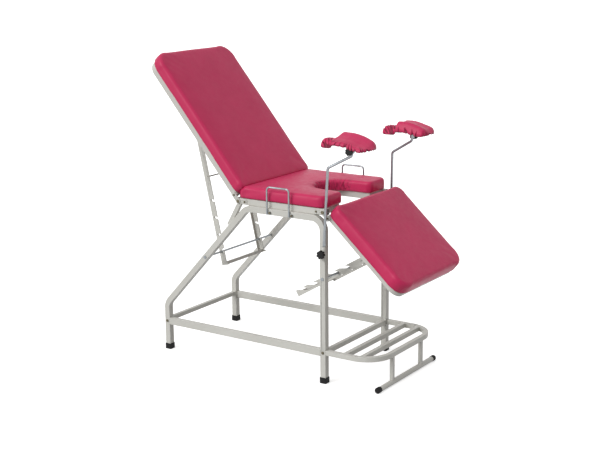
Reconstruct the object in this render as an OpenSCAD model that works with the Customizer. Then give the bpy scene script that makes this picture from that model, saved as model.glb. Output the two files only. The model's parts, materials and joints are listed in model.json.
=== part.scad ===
// Gynaecological examination table: ratchet backrest and leg section, swivelling leg rests, step.
// Millimetres, +Z up, +X to the foot end, +Y to the far side, origin on the floor under the middle.
// Sizes are worked out from the front legs' front face; place() then centres the whole table.

/* [Side frames] */
// Outer width over the two side frames
frame_w = 560; // [520:1:640]
// Side of the square tube of legs, rails and seat frame
tube = 28; // [25:0.5:30]
// Wall of every steel tube
wall = 1.5; // [1:0.1:2]
// Height of the top rails' upper face
rail_top = 764.5; // [740:0.5:800]
// Length over the front and rear legs at the floor
base_l = 922; // [890:1:960]
// Angle of the slanted leg above level
slant_a = 47; // [45:0.5:49]
// Length of the top rail between its two bend corners
rail_l = 410; // [395:1:425]
// Bend radius of the side frames, on the tube's centre line
bend_r = 56; // [45:1:70]

/* [Lower rails] */
// Height of the lower rails' upper face
lower_top = 160; // [150:1:180]
// Height of the lower rails
lower_h = 34; // [28:1:40]
// Thickness of the lower rails and of the lower cross tubes
lower_t = 20; // [16:1:24]

/* [Leg caps] */
// Height of a leg cap
cap_h = 28; // [20:1:35]
// Wall and floor of a leg cap
cap_wall = 2.5; // [1.5:0.1:3]

/* [Step] */
// Reach of the step in front of the legs
step_l = 265; // [240:1:290]
// Side of the step's square tube
step_tube = 22; // [18:1:26]
// Height of the step's upper face
step_top = 156; // [145:1:170]
// Corner radius of the step, on the tube's centre line
step_r = 119; // [90:1:140]
// Width of a step slat
slat_w = 20; // [15:1:26]
// First slat's middle in front of the legs
slat_x = 92; // [80:1:100]
// Spacing of the slats
slat_pitch = 82; // [70:1:90]
// Side of a step post
post_w = 16; // [12:1:20]
// Spacing of the step posts
post_gap = 260; // [200:1:320]
// Diameter of the round foot bar
foot_bar_d = 24; // [20:1:28]
// Length of the foot bar without its caps
foot_bar_l = 500; // [440:1:540]
// Wall of a foot bar cap
foot_cap_wall = 1.5; // [1:0.1:2.5]
// Length of a foot bar cap
foot_cap_l = 26; // [16:1:34]

/* [Seat] */
// Seat frame's side inside the side frame's outer face
seat_inset = 14; // [12:0.5:21]
// Rear hinge axis behind the front legs' face
rear_hinge_x = 472; // [460:1:484]
// Front hinge axis behind the front legs' face
front_hinge_x = 17; // [12:1:24]
// Cushions' side inside the seat frame's side
pad_inset = 3.5; // [1:0.5:13]
// Thickness of the cushions without their crown
pad_t = 50; // [40:1:60]
// Crown of the cushions
crown = 9; // [4:0.5:14]
// How far the cushions' sides draw in between their corners
draw_in = 3; // [1:0.5:5]
// Seat cushion's rear edge in front of the rear hinge
seat_back_gap = 23; // [20:1:28]
// Seat cushion's front edge in front of the front hinge
seat_nose = 9; // [4:1:12]
// Half width of the cut-out
cut_half_w = 118; // [90:1:130]
// Depth of the cut-out
cut_depth = 208; // [170:1:230]
// Thickness of the boards in the cushions
board_t = 12; // [9:1:15]
// Width of the cover's hem round a board
hem = 4; // [3:0.5:8]

/* [Backrest] */
// Angle of the backrest above level
back_a = 50; // [46:0.5:54]
// Cushion's lower end beyond the hinge
back_gap = 37; // [35:1:44]
// Length of the backrest cushion
back_l = 748; // [700:1:780]
// Corner radius at the backrest's head
back_corner = 62; // [40:1:80]

/* [Leg section] */
// Angle of the leg section below level
leg_a = 42; // [38:0.5:45]
// Cushion's upper end beyond the hinge
leg_gap = 37; // [35:1:44]
// Length of the leg cushion
leg_l = 452; // [420:1:480]
// Corner radius at the foot end
leg_corner = 50; // [30:1:70]
// Height and width of the leg section's tube
leg_tube = 20; // [18:1:24]

/* [Ratchets] */
// Height of the backrest's ratchet rod
back_rod_z = 492; // [480:1:505]
// Diameter of the backrest's ratchet rod
back_rod_d = 9; // [7:0.5:10]
// Height of the leg section's ratchet rod
leg_rod_z = 482; // [474:1:490]
// Diameter of the leg section's ratchet rod
leg_rod_d = 10; // [8:0.5:11]
// Width of a strut's plate
strut_w = 30; // [26:1:34]
// Thickness of a strut's plate
strut_t = 4; // [3:0.5:5]
// Spacing of the two struts of a pair
strut_gap = 300; // [260:1:340]
// Flange along the rear edge of a back strut
flange = 16; // [10:1:20]
// Back strut's pivot along the backrest
back_strut_u = 500; // [490:1:510]
// Leg strut's pivot along the leg section
leg_strut_u = 262; // [254:1:270]
// Spacing of the back strut's notches
back_pitch = 83; // [75:1:90]
// Spacing of the leg strut's notches
leg_pitch = 66; // [60:1:70]
// Back strut's end below its last notch
back_tail = 66; // [55:1:75]
// Leg strut's end beyond its last notch
leg_tail = 59; // [45:1:65]

/* [Hand grips] */
// Diameter of the hand grips' rod
grip_d = 8; // [6:0.5:10]
// Width of a hand grip
grip_w = 118; // [100:1:140]
// Height of the near hand grip's top above the top rail
grip_h = 99; // [85:1:120]
// Height of the far hand grip's top above the top rail
far_grip_h = 117; // [85:1:135]
// Near grip's rear foot behind the front legs' face
near_grip_x = 303; // [290:1:315]
// Far grip's rear foot behind the front legs' face
far_grip_x = 264; // [250:1:280]

/* [Leg rests] */
// Diameter of a leg rest's rod
rod_d = 12; // [10:0.5:14]
// Middle height of the sockets
socket_z = 601; // [590:1:615]
// Length of a socket
socket_l = 62; // [50:1:75]
// Outer diameter of a socket
socket_d = 20; // [18:0.5:24]
// Forward lean of the near rod
near_lean = 3.4; // [0:0.1:5]
// Forward lean of the far rod
far_lean = 1; // [0:0.1:5]
// Inward swivel of both rods
swivel = 7; // [0:0.5:12]
// Rod's first bend above the socket's middle
rod_rise = 380; // [350:1:392]
// Reach of the cranked part of a rod
crank_l = 110; // [90:1:130]
// Rise of the cranked part of a rod
crank_h = 66; // [50:1:80]
// Rod's end above its second bend
rod_tip = 36; // [35:1:42]
// How much lower the far rod's bends stand
far_drop = 18; // [0:1:30]
// Diameter of the socket knobs
knob_d = 38; // [30:1:42]
// Diameter of the knobs under the pads
rest_knob_d = 34; // [28:1:36]
// Thickness of the clamp knobs
knob_t = 16; // [12:1:20]
// Outer diameter of a pad sleeve
sleeve_d = 22; // [19:0.5:26]
// Length of a leg rest's pad
rest_l = 258; // [240:1:290]
// Width of a leg rest's pad
rest_w = 124; // [100:1:140]
// Mean height of a pad's rims over its plate
rest_h = 44; // [36:1:60]
// Pad's nose behind the rod's end
rest_nose = 141; // [130:1:150]

/* [Hidden] */
// Quality of the round pieces
$fn = 64;
// Overrun of every cut
over = 1;
// Gap between pieces that move past each other
gap = 0.3;
// Radial clearance of a running fit
run_fit = 0.06;
// Radial clearance of a bolt in its hole
hole_fit = 0.1;
// Turn of one facet of a bent square tube
bend_step = 4;
// A bent rod's bends are thicker by this, and its straights run into them by this
bend_swell = 0.2;
bend_lap = 1;

// Places worked out from the sizes above
half_w = frame_w / 2;
leg_x = -tube / 2;
rear_x = tube / 2 - base_l;
rail_z = rail_top - tube / 2;
rail_rear_x = leg_x - rail_l;
slant_z = rail_z - (rail_rear_x - rear_x) * tan(slant_a);
side_path = [
    [rear_x, cap_wall], [rear_x, slant_z, bend_r], [rail_rear_x, rail_z, bend_r],
    [leg_x, rail_z, bend_r], [leg_x, cap_wall]
];

// Hinges: leaves on the seat frame's sides, pivot at half the tube's height
hinge_z = rail_top + tube / 2;
rear_hinge = [-rear_hinge_x, hinge_z];
front_hinge = [-front_hinge_x, hinge_z];
seat_w = frame_w - 2 * seat_inset;
pad_w = seat_w - 2 * pad_inset;
seat_half = seat_w / 2;
leaf_t = 3;
leaf_w = 22;
leaf_l = 46;
leaf_screw = 35;
leaf_screw_d = 9;
leaf_screw_h = 2.4;
pin_d = 8;
pin_head_d = 14;
pin_head_h = 3;
moving_half = seat_half + gap;
moving_start = 28;

// Upholstery stands on the frames' upper faces
pad_z = tube / 2;
seat_x0 = seat_back_gap - rear_hinge_x;
seat_x1 = seat_nose - front_hinge_x;
seat_l = seat_x1 - seat_x0;
seat_corner = 34;
square_corner = 14;
cut_x = seat_x1 - cut_depth + cut_half_w;
board_fit = 0.2;

// Share of half the cushion's plan and height of each ring, as [plan, thickness, crown]
pad_ring_shares = [
    [0.985, 0, 0], [1, 0.1, 0], [1, 0.78, 0], [0.992, 0.93, 0], [0.972, 1, 0.02], [0.92, 1, 0.26],
    [0.82, 1, 0.55], [0.66, 1, 0.8], [0.42, 1, 0.95], [0.16, 1, 1]
];
corner_steps = 5;
side_steps = 6;

// Frame members under the cushions
frame_lip = 2;
back_end = back_gap + back_l + frame_lip;
leg_end = leg_gap + leg_l + frame_lip;
back_member = 74;
leg_member = 60;
seat_member = 45;
cut_rim = 12;

// Backrest's struts: pivot below the backrest's cross tube, ratchet rod on the slanted leg's centre line
function turned(v, a) = [v.x * cos(a) + v.y * sin(a), v.y * cos(a) - v.x * sin(a)];
stud_drop = 10;
lug_r = 9;
lug_fall = 8;
lug_run = 20;
strut_half_y = strut_gap / 2;
back_rod = [rear_x + (back_rod_z - slant_z) / tan(slant_a), back_rod_z];
back_stud = rear_hinge + turned([-back_strut_u, -tube / 2 - stud_drop], back_a);
back_reach = norm(back_rod - back_stud);
back_lean = atan2(back_rod.x - back_stud.x, back_stud.y - back_rod.y);
back_strut_l = back_reach + back_tail;
back_notches = 3;
slot_fit = 0.35;
slot_steps = 12;
free_slot_a = 34;
free_slot_spread = 4;
hook_slot_a = 24;
strut_tab = 9;
strut_bar = 14;
tie_drop = 309;
tie_d = 6;
tie_w = 7;

// Leg section's struts: pivot below the leg section's cross tube, ratchet rod on the front legs' centre line
leg_rod = [leg_x, leg_rod_z];
leg_bottom = tube / 2 - leg_tube;
leg_stud_drop = 16;
leg_stud = front_hinge + turned([leg_strut_u, leg_bottom - leg_stud_drop], leg_a);
leg_reach = norm(leg_rod - leg_stud);
leg_lean = atan2(leg_stud.y - leg_rod.y, leg_stud.x - leg_rod.x);
leg_notches_before = 1;
leg_notches_after = 3;
leg_slot_a = 22;
leg_slot_spread = 5;
leg_strut_l = leg_reach + leg_notches_after * leg_pitch + leg_tail;

// Bolts: heads on the side frames' outer faces
bolt_d = 8;
bolt_head_d = 13;
bolt_head_h = 3;
rod_head_d = 15;
rod_head_h = 2.8;
brace_w = 20;
brace_top_x = -rear_hinge_x + 2;
brace_a = 60;

// Hand grips stand on the rails' outer faces
grip_bend = 16;
grip_eye_r = 7;
grip_eye_t = 3;
grip_eye_x = 13;
grip_foot = 17.5;
grip_bolt_d = 6;
grip_bolt_head_d = 11;

// Leg rest's pieces, in the frame of the leaning socket
socket_y = half_w + socket_d / 2;
boss_d = 16;
boss_h = 4;
plug_h = 12;
rod_foot = plug_h - socket_l / 2;
rod_bend = 18;
sleeve_gap = 13;
sleeve_floor = 3;
plate_t = 3;
plate_l = 150;
plate_w = 56;
plate_fore = 18;
function rise(side) = rod_rise - (side > 0 ? far_drop : 0);
function crank_top(side) = rise(side) + crank_h;
function rod_end(side) = crank_top(side) + rod_tip;
function sleeve_start(side) = crank_top(side) + sleeve_gap;
function rest_z(side) = rod_end(side) + gap + sleeve_floor + plate_t;
knob_lobes = 7;
knob_lobe_d = 12;
knob_neck = 2;
stud_d = 8;

// The pad: nose toward the patient, hollow across, convex along
rest_rings = 20;
rest_sides = 24;
nose_share = 0.3;
nose_w_share = 0.62;
nose_h_share = 0.64;
dip_share = 0.3;
fall_share = 0.5;
inner_share = 0.16;

// The table's middle lies under the middle between the head end's lower edge and the foot cushion's edge
pad_half = leg_l / 2;
foot_reach = max([for (s = pad_ring_shares)
    turned([leg_gap + pad_half + pad_half * s[0], pad_z + pad_t * s[1] + crown * s[2]], leg_a).x]);
head_reach = turned([-back_end, -tube / 2], back_a).x;
mid_x = (front_hinge.x + foot_reach + rear_hinge.x + head_reach) / 2;

// Frames of reference

module place() {
    translate([-mid_x, 0, 0]) children();
}

// Flat shapes drawn in X and Z, standing between y and y + t
module upright(y, t) {
    translate([0, y + t, 0]) rotate([90, 0, 0]) linear_extrude(t) children();
}

module both_sides() {
    children();
    mirror([0, 1, 0]) children();
}

// What is drawn for the near side, on the near side at -1 and mirrored to the far side at 1
module on_side(side) {
    if (side > 0) mirror([0, 1, 0]) children();
    else children();
}

// The backrest laid level, with its hinge axis at the origin and its head toward -X
module on_back() {
    place() translate([rear_hinge.x, 0, rear_hinge.y]) rotate([0, back_a, 0]) children();
}

// The leg section laid level, with its hinge axis at the origin and its foot toward +X
module on_leg() {
    place() translate([front_hinge.x, 0, front_hinge.y]) rotate([0, leg_a, 0]) children();
}

// A back strut hanging straight down from its pivot
module on_back_strut() {
    place() translate([back_stud.x, 0, back_stud.y]) rotate([0, -back_lean, 0]) children();
}

// A leg strut lying level from its pivot toward -X
module on_leg_strut() {
    place() translate([leg_stud.x, 0, leg_stud.y]) rotate([0, -leg_lean, 0]) children();
}

// A leg rest's socket with its axis along Z; side is -1 for the near side
module on_socket(side) {
    place() translate([0, side * socket_y, socket_z]) rotate([0, side < 0 ? near_lean : far_lean, 0]) children();
}

// The pad's own frame on the rod's end, facing along the table
module on_rest(side) {
    on_socket(side) rotate([0, 0, -side * swivel]) translate([crank_l, 0, 0])
        rotate([0, 0, side * swivel]) children();
}

// Bent tubes and rods

function unit(v) = v / norm(v);
function flat(q) = [q.x, q.y];
function pushed(a, b, d) = flat(a) + unit(flat(a) - flat(b)) * d;
function lengthened(p, d) = [for (i = [0:len(p) - 1])
    i == 0 ? pushed(p[0], p[1], d) : i == len(p) - 1 ? pushed(p[i], p[i - 1], d) : p[i]];
function radius_at(p, i) = i == 0 || i == len(p) - 1 ? 0 : p[i].z;
function turn_at(p, i) = i == 0 || i == len(p) - 1 ? 0
    : acos(unit(flat(p[i]) - flat(p[i - 1])) * unit(flat(p[i + 1]) - flat(p[i])));
function back_at(p, i) = radius_at(p, i) * tan(turn_at(p, i) / 2);
function start_at(p, i) = flat(p[i]) + unit(flat(p[i + 1]) - flat(p[i])) * back_at(p, i);
function stop_at(p, i) = flat(p[i + 1]) - unit(flat(p[i + 1]) - flat(p[i])) * back_at(p, i + 1);
function left(v) = [-v.y, v.x];
function bend_side(p, i) = sign((flat(p[i + 1]) - flat(p[i])) * left(flat(p[i]) - flat(p[i - 1])));

// Edge of a bar at distance d to the left of its path, each inner point given as [x, y, bend radius]
function bend_edge(p, i, d) = let (
    s = bend_side(p, i),
    first = -s * left(unit(flat(p[i]) - flat(p[i - 1]))),
    centre = stop_at(p, i - 1) - first * radius_at(p, i),
    steps = max(2, ceil(turn_at(p, i) / bend_step))
) [for (k = [0:steps]) let (a = s * turn_at(p, i) * k / steps)
    centre + (radius_at(p, i) - s * d) * [first.x * cos(a) - first.y * sin(a), first.y * cos(a) + first.x * sin(a)]];
function edge(p, d) = [for (i = [0:len(p) - 1]) each i == 0 || i == len(p) - 1
    ? [flat(p[i]) + left(unit(flat(p[max(i, 1)]) - flat(p[max(i, 1) - 1]))) * d] : bend_edge(p, i, d)];
function reversed(v) = [for (i = [len(v) - 1:-1:0]) v[i]];

// Outline of a bar of width w along points p
module strip(p, w) {
    polygon(concat(edge(p, w / 2), reversed(edge(p, -w / 2))));
}

// Outside and bore of a tube w wide and h high whose path lies in X and Y
module skin(p, w, h) {
    linear_extrude(h) strip(p, w);
}

module bore(p, w, h, reach) {
    translate([0, 0, wall]) linear_extrude(h - 2 * wall) strip(lengthened(p, reach), w - 2 * wall);
}

// Round rod of diameter d along points p in X and Y
module rod(p, d) {
    for (i = [0:len(p) - 2]) {
        u = unit(flat(p[i + 1]) - flat(p[i]));
        a = start_at(p, i) - (i == 0 ? 0 : bend_lap) * u;
        b = stop_at(p, i) + (i == len(p) - 2 ? 0 : bend_lap) * u;
        translate(a) rotate([90, 0, atan2(u.y, u.x) + 90]) cylinder(h = norm(b - a), d = d);
    }
    for (i = [1:1:len(p) - 2]) {
        r = radius_at(p, i);
        s = bend_side(p, i);
        from = -s * left(unit(flat(p[i]) - flat(p[i - 1])));
        to = -s * left(unit(flat(p[i + 1]) - flat(p[i])));
        first = s > 0 ? from : to;
        translate(stop_at(p, i - 1) - from * r) rotate([0, 0, atan2(first.y, first.x)])
            rotate_extrude(angle = turn_at(p, i)) translate([r, 0]) circle(d = d + bend_swell);
    }
}

// Cylinder along Y from y0 to y1
module cross_pin(x, z, d, y0, y1) {
    translate([x, y0, z]) rotate([-90, 0, 0]) cylinder(h = y1 - y0, d = d);
}

// Upholstery

// Outline of a rectangle from x0 to x1 with corner radii r0 at x0 and r1 at x1
module round_sheet(x0, x1, w, r0, r1) {
    translate([x0 + r0, -w / 2]) square([x1 - x0 - r0 - r1, w]);
    translate([x0, r0 - w / 2]) square([r0 + r1, w - 2 * r0]);
    translate([x1 - r0 - r1, r1 - w / 2]) square([r0 + r1, w - 2 * r1]);
    for (s = [-1, 1]) {
        translate([x0 + r0, s * (w / 2 - r0)]) circle(r0);
        translate([x1 - r1, s * (w / 2 - r1)]) circle(r1);
    }
}

function arc_points(c, r, a0) = [for (i = [0:corner_steps])
    c + r * [cos(a0 + 90 * i / corner_steps), sin(a0 + 90 * i / corner_steps)]];
function side_points(a, b) = [for (i = [1:side_steps - 1])
    a + (b - a) * i / side_steps + left(unit(b - a)) * draw_in * sin(180 * i / side_steps)];

// Plan of a cushion l long and w wide about its middle, with its sides drawn in between the corners
function pad_plan(l, w, r0, r1) = let (
    arcs = [
        arc_points([l / 2 - r1, w / 2 - r1], r1, 0), arc_points([r0 - l / 2, w / 2 - r0], r0, 90),
        arc_points([r0 - l / 2, r0 - w / 2], r0, 180), arc_points([l / 2 - r1, r1 - w / 2], r1, 270)
    ]
) [for (i = [0:3]) each concat(arcs[i], side_points(arcs[i][corner_steps], arcs[(i + 1) % 4][0]))];

// Closed form through rings of n points each, closed by a middle point at both ends
module ring_form(rings, low, high) {
    n = len(rings[0]);
    last = len(rings) - 1;
    points = concat([for (ring = rings) each ring], [low, high]);
    walls = [for (j = [0:last - 1], i = [0:n - 1]) let (k = (i + 1) % n)
        each [[j * n + i, (j + 1) * n + i, (j + 1) * n + k], [j * n + i, (j + 1) * n + k, j * n + k]]];
    floor_faces = [for (i = [0:n - 1]) [(last + 1) * n, i, (i + 1) % n]];
    top_faces = [for (i = [0:n - 1]) [(last + 1) * n + 1, last * n + (i + 1) % n, last * n + i]];
    polyhedron(points, concat(walls, floor_faces, top_faces));
}

// Crowned cushion from x0 on, standing on z = 0, with a pocket for its board
module crowned_pad(x0, l, r0, r1) {
    plan = pad_plan(l, pad_w, r0, r1);
    rings = [for (s = pad_ring_shares) [for (q = plan) [q.x * s[0], q.y * s[0], pad_t * s[1] + crown * s[2]]]];
    difference() {
        translate([x0 + l / 2, 0, 0]) ring_form(rings, [0, 0, 0], [0, 0, pad_t + crown]);
        translate([0, 0, -over]) linear_extrude(board_t + over + board_fit)
            round_sheet(x0 + hem - board_fit, x0 + l - hem + board_fit, pad_w - 2 * (hem - board_fit), r0, r1);
    }
}

module board(x0, l, r0, r1) {
    linear_extrude(board_t) round_sheet(x0 + hem + draw_in, x0 + l - hem - draw_in,
        pad_w - 2 * (hem + draw_in), r0, r1);
}

// Cut-out, open to the foot end, grown by g on every side
module cut_out(h, g) {
    translate([0, 0, -over]) linear_extrude(h + 2 * over) {
        translate([cut_x, 0]) circle(cut_half_w + g);
        translate([cut_x, -cut_half_w - g]) square([seat_x1 - cut_x + over, 2 * (cut_half_w + g)]);
    }
}

// Side frames and base

module side_frame(y) {
    place() difference() {
        translate([0, y + tube, 0]) rotate([90, 0, 0]) difference() {
            skin(side_path, tube, tube);
            bore(side_path, tube, tube, over);
        }
        for (x = [leg_x, rear_x]) cross_pin(x, lower_top - lower_h / 2, bolt_d + 2 * hole_fit, y - over, y + tube + over);
        cross_pin(back_rod.x, back_rod.y, back_rod_d + 2 * hole_fit, y - over, y + tube + over);
        cross_pin(leg_rod.x, leg_rod.y, leg_rod_d + 2 * hole_fit, y - over, y + tube + over);
    }
}

module near_side_frame() color("gainsboro") side_frame(-half_w);

module far_side_frame() color("gainsboro") side_frame(half_w - tube);

module lower_rails() color("gainsboro") place() both_sides() {
    translate([0, -half_w, lower_top - lower_h]) difference() {
        translate([rear_x + tube / 2, 0, 0]) cube([base_l - 2 * tube, lower_t, lower_h]);
        translate([rear_x + tube / 2 - over, wall, wall])
            cube([base_l - 2 * tube + 2 * over, lower_t - 2 * wall, lower_h - 2 * wall]);
    }
}

// Square tube across the table between the side frames
module cross_tube(x, z, w, h, half) {
    place() translate([0, 0, z]) difference() {
        skin([[x, -half], [x, half]], w, h);
        bore([[x, -half], [x, half]], w, h, over);
    }
}

module rear_cross_tube() color("gainsboro")
    cross_tube(rear_x, lower_top - lower_t, lower_t, lower_t, half_w - tube);

module front_cross_tube() color("gainsboro")
    cross_tube(-lower_t / 2, step_top - step_tube, lower_t, step_tube, half_w - tube);

module leg_caps() color("dimgray") place() both_sides() for (x = [leg_x, rear_x])
    translate([x, tube / 2 - half_w, 0]) difference() {
        translate([-tube / 2 - cap_wall, -tube / 2 - cap_wall, 0])
            cube([tube + 2 * cap_wall, tube + 2 * cap_wall, cap_h]);
        translate([-tube / 2 - hole_fit, -tube / 2 - hole_fit, cap_wall])
            cube([tube + 2 * hole_fit, tube + 2 * hole_fit, cap_h]);
    }

module rail_bolts() color("gray") place() both_sides() for (x = [leg_x, rear_x]) {
    cross_pin(x, lower_top - lower_h / 2, bolt_head_d, -half_w - bolt_head_h, -half_w);
    cross_pin(x, lower_top - lower_h / 2, bolt_d, -half_w, tube - half_w);
}

// Step

step_path = [
    [0, step_tube / 2 - half_w], [step_l - step_tube / 2, step_tube / 2 - half_w, step_r],
    [step_l - step_tube / 2, half_w - step_tube / 2, step_r], [0, half_w - step_tube / 2]
];
step_z = step_top - step_tube;

module step_frame() color("gainsboro") place() translate([0, 0, step_z]) difference() {
    skin(step_path, step_tube, step_tube);
    bore(step_path, step_tube, step_tube, over);
}

module step_slats() color("gainsboro") place() for (i = [0:1])
    translate([0, 0, step_top - lower_t]) difference() {
        linear_extrude(lower_t) difference() {
            translate([slat_x + i * slat_pitch - slat_w / 2, step_tube - half_w])
                square([slat_w, frame_w - 2 * step_tube]);
            strip(step_path, step_tube);
        }
        translate([slat_x + i * slat_pitch - slat_w / 2 + wall, -half_w, wall])
            cube([slat_w - 2 * wall, frame_w, lower_t - 2 * wall]);
    }

foot_cap_d = foot_bar_d + 2 * foot_cap_wall;
foot_bar_x = step_l - step_tube / 2;
foot_bar_z = foot_cap_d / 2;

module step_posts() color("gainsboro") place() for (s = [-1, 1]) difference() {
    translate([foot_bar_x - post_w / 2, s * post_gap / 2 - post_w / 2, foot_bar_z])
        cube([post_w, post_w, step_z - foot_bar_z]);
    translate([foot_bar_x - post_w / 2 + wall, s * post_gap / 2 - post_w / 2 + wall, 0])
        cube([post_w - 2 * wall, post_w - 2 * wall, step_top]);
    cross_pin(foot_bar_x, foot_bar_z, foot_bar_d + hole_fit, -half_w, half_w);
}

module foot_bar() color("gainsboro") place() difference() {
    cross_pin(foot_bar_x, foot_bar_z, foot_bar_d, -foot_bar_l / 2, foot_bar_l / 2);
    cross_pin(foot_bar_x, foot_bar_z, foot_bar_d - 2 * wall, -foot_bar_l / 2 - over, foot_bar_l / 2 + over);
}

module foot_bar_caps() color("dimgray") place() both_sides() difference() {
    translate([foot_bar_x, foot_cap_l - foot_bar_l / 2 - foot_cap_d / 2, foot_bar_z]) rotate([90, 0, 0])
        rotate_extrude() {
            square([foot_cap_d / 2, foot_cap_l - foot_cap_d / 4]);
            translate([0, foot_cap_l - foot_cap_d / 4]) square([foot_cap_d / 4, foot_cap_d / 4]);
            intersection() {
                translate([foot_cap_d / 4, foot_cap_l - foot_cap_d / 4]) circle(foot_cap_d / 4);
                translate([foot_cap_d / 4, 0]) square([foot_cap_d / 4, foot_cap_l]);
            }
        }
    cross_pin(foot_bar_x, foot_bar_z, foot_bar_d + hole_fit, -foot_bar_l / 2, foot_bar_l / 2);
}

// Seat

seat_back = -rear_hinge_x - tube / 2;
seat_front = tube / 2 - front_hinge_x;
seat_line = seat_half - tube / 2;
rim_line = cut_half_w + cut_rim + tube / 2;
seat_rear_line = seat_x0 + seat_member - tube;
seat_mid_line = seat_x1 - cut_depth - cut_rim - tube / 2;
seat_front_line = seat_x1 - tube / 2 - cut_rim;
seat_members = [
    [[seat_rear_line, -seat_line], [seat_rear_line, seat_line]],
    [[seat_mid_line, -seat_line], [seat_mid_line, seat_line]],
    [[seat_mid_line, -rim_line], [seat_front_line + tube / 2, -rim_line]],
    [[seat_mid_line, rim_line], [seat_front_line + tube / 2, rim_line]],
    [[seat_front_line, -seat_line], [seat_front_line, -rim_line]],
    [[seat_front_line, seat_line], [seat_front_line, rim_line]]
];
// The tubes beside the cut-out are closed at their front ends
seat_bores = [
    for (p = seat_members) p[1].x > seat_front_line ? [p[0], [seat_front_line, p[1].y]] : p
];

module seat_frame() color("gainsboro") place() translate([0, 0, rail_top]) difference() {
    union() {
        for (s = [-1, 1]) skin([[seat_back, s * seat_line], [seat_front, s * seat_line]], tube, tube);
        for (p = seat_members) skin(p, tube, tube);
    }
    for (s = [-1, 1]) bore([[seat_back, s * seat_line], [seat_front, s * seat_line]], tube, tube, over);
    for (p = seat_bores) bore(p, tube, tube, 0);
}

module seat_board() color("peru") place() translate([0, 0, rail_top + tube]) difference() {
    board(seat_x0, seat_l, square_corner, seat_corner);
    cut_out(board_t, hem);
}

module seat_cushion() color("palevioletred") place() translate([0, 0, rail_top + tube]) difference() {
    crowned_pad(seat_x0, seat_l, square_corner, seat_corner);
    cut_out(pad_t + crown, 0);
}

// Leaf on the outer face at y, from the pivot toward dir, with a hole for the pin
module leaf(y, dir, t, hole_d) {
    difference() {
        union() {
            upright(y, t) translate([dir > 0 ? 0 : -leaf_l, -leaf_w / 2]) square([leaf_l, leaf_w]);
            cross_pin(0, 0, leaf_w, y, y + t);
        }
        cross_pin(0, 0, hole_d, y - over, y + t + over);
    }
}

// Moving leaf with the block that spaces it from its tube
module moving_leaf(dir) {
    leaf(-seat_half - 2 * leaf_t - gap, dir, leaf_t, pin_d + 2 * run_fit);
    translate([dir > 0 ? moving_start : -leaf_l, -seat_half - leaf_t - gap, -leaf_w / 2])
        cube([leaf_l - moving_start, leaf_t, leaf_w]);
}

module screw_head(x, y) {
    cross_pin(x, 0, leaf_screw_d, y - leaf_screw_h, y);
}

module seat_hinge_leaves() color("gainsboro") place() both_sides() {
    translate([rear_hinge.x, 0, rear_hinge.y]) leaf(-seat_half - leaf_t, 1, leaf_t, pin_d + 2 * hole_fit);
    translate([front_hinge.x, 0, front_hinge.y]) leaf(-seat_half - leaf_t, -1, leaf_t, pin_d + 2 * hole_fit);
}

module seat_screws() color("gray") place() both_sides() {
    translate([rear_hinge.x, 0, rear_hinge.y]) screw_head(leaf_screw, -seat_half - leaf_t);
    translate([front_hinge.x, 0, front_hinge.y]) screw_head(-leaf_screw, -seat_half - leaf_t);
}

module hinge_pins() color("gray") place() both_sides() for (h = [rear_hinge, front_hinge]) {
    cross_pin(h.x, h.y, pin_d, -seat_half - 2 * leaf_t - 2 * gap, -seat_half);
    cross_pin(h.x, h.y, pin_head_d, -seat_half - 2 * leaf_t - 2 * gap - pin_head_h, -seat_half - 2 * leaf_t - 2 * gap);
}

// Short brace from the seat frame's rear end down to the slanted leg
brace_path = [
    [brace_top_x + brace_w * cos(brace_a), rail_top + brace_w * sin(brace_a)],
    [brace_top_x - brace_w * 6 * cos(brace_a), rail_top - brace_w * 6 * sin(brace_a)]
];

module braces() color("gainsboro") place() both_sides() upright(-half_w + tube / 2 - brace_w / 4, brace_w)
    difference() {
        strip(brace_path, brace_w);
        strip(side_path, tube);
        translate([brace_top_x - brace_w * 3, rail_top]) square([brace_w * 6, brace_w * 2]);
        translate([brace_top_x - brace_w * 6, 0]) square([brace_w * 6, rail_top - brace_w * 6]);
    }

// Ratchet rods

module ratchet_rod(at, d) {
    place() {
        cross_pin(at.x, at.y, d, -half_w, half_w);
        both_sides() cross_pin(at.x, at.y, rod_head_d, -half_w - rod_head_h, -half_w);
    }
}

module back_ratchet_rod() color("silver") ratchet_rod(back_rod, back_rod_d);

module leg_ratchet_rod() color("silver") ratchet_rod(leg_rod, leg_rod_d);

// Hand grips

grip_y = half_w + grip_d / 2 + gap;
grip_low = rail_z - grip_foot + tube / 2;

module hand_grip(side, x) {
    top = rail_top + (side < 0 ? grip_h : far_grip_h);
    p = [
        [x, grip_low - grip_eye_r], [x, top, grip_bend],
        [x + grip_w, top, grip_bend], [x + grip_w, grip_low - grip_eye_r]
    ];
    place() on_side(side) {
        translate([0, -grip_y, 0]) rotate([90, 0, 0]) rod(p, grip_d);
        for (foot = [x, x + grip_w]) grip_eye(foot);
    }
}

// Flattened eye beside a grip's foot, flat on the rail's face
module grip_eye(x) {
    upright(-half_w - gap - grip_eye_t, grip_eye_t) difference() {
        union() {
            translate([x, grip_low - grip_eye_r]) square([grip_eye_x, 2 * grip_eye_r]);
            translate([x + grip_eye_x, grip_low]) circle(grip_eye_r);
        }
        translate([x + grip_eye_x, grip_low]) circle(d = grip_bolt_d + 2 * hole_fit);
    }
}

module near_hand_grip() color("silver") hand_grip(-1, -near_grip_x);

module far_hand_grip() color("silver") hand_grip(1, -far_grip_x);

module grip_bolts() color("gray") place() for (side = [-1, 1], i = [0, 1]) on_side(side) {
    x = (side < 0 ? -near_grip_x : -far_grip_x) + grip_eye_x + i * grip_w;
    head_y = -half_w - gap - grip_eye_t;
    cross_pin(x, grip_low, grip_bolt_d, head_y, -half_w);
    cross_pin(x, grip_low, grip_bolt_head_d, head_y - bolt_head_h, head_y);
}

// Stirrup sockets and knobs

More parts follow.
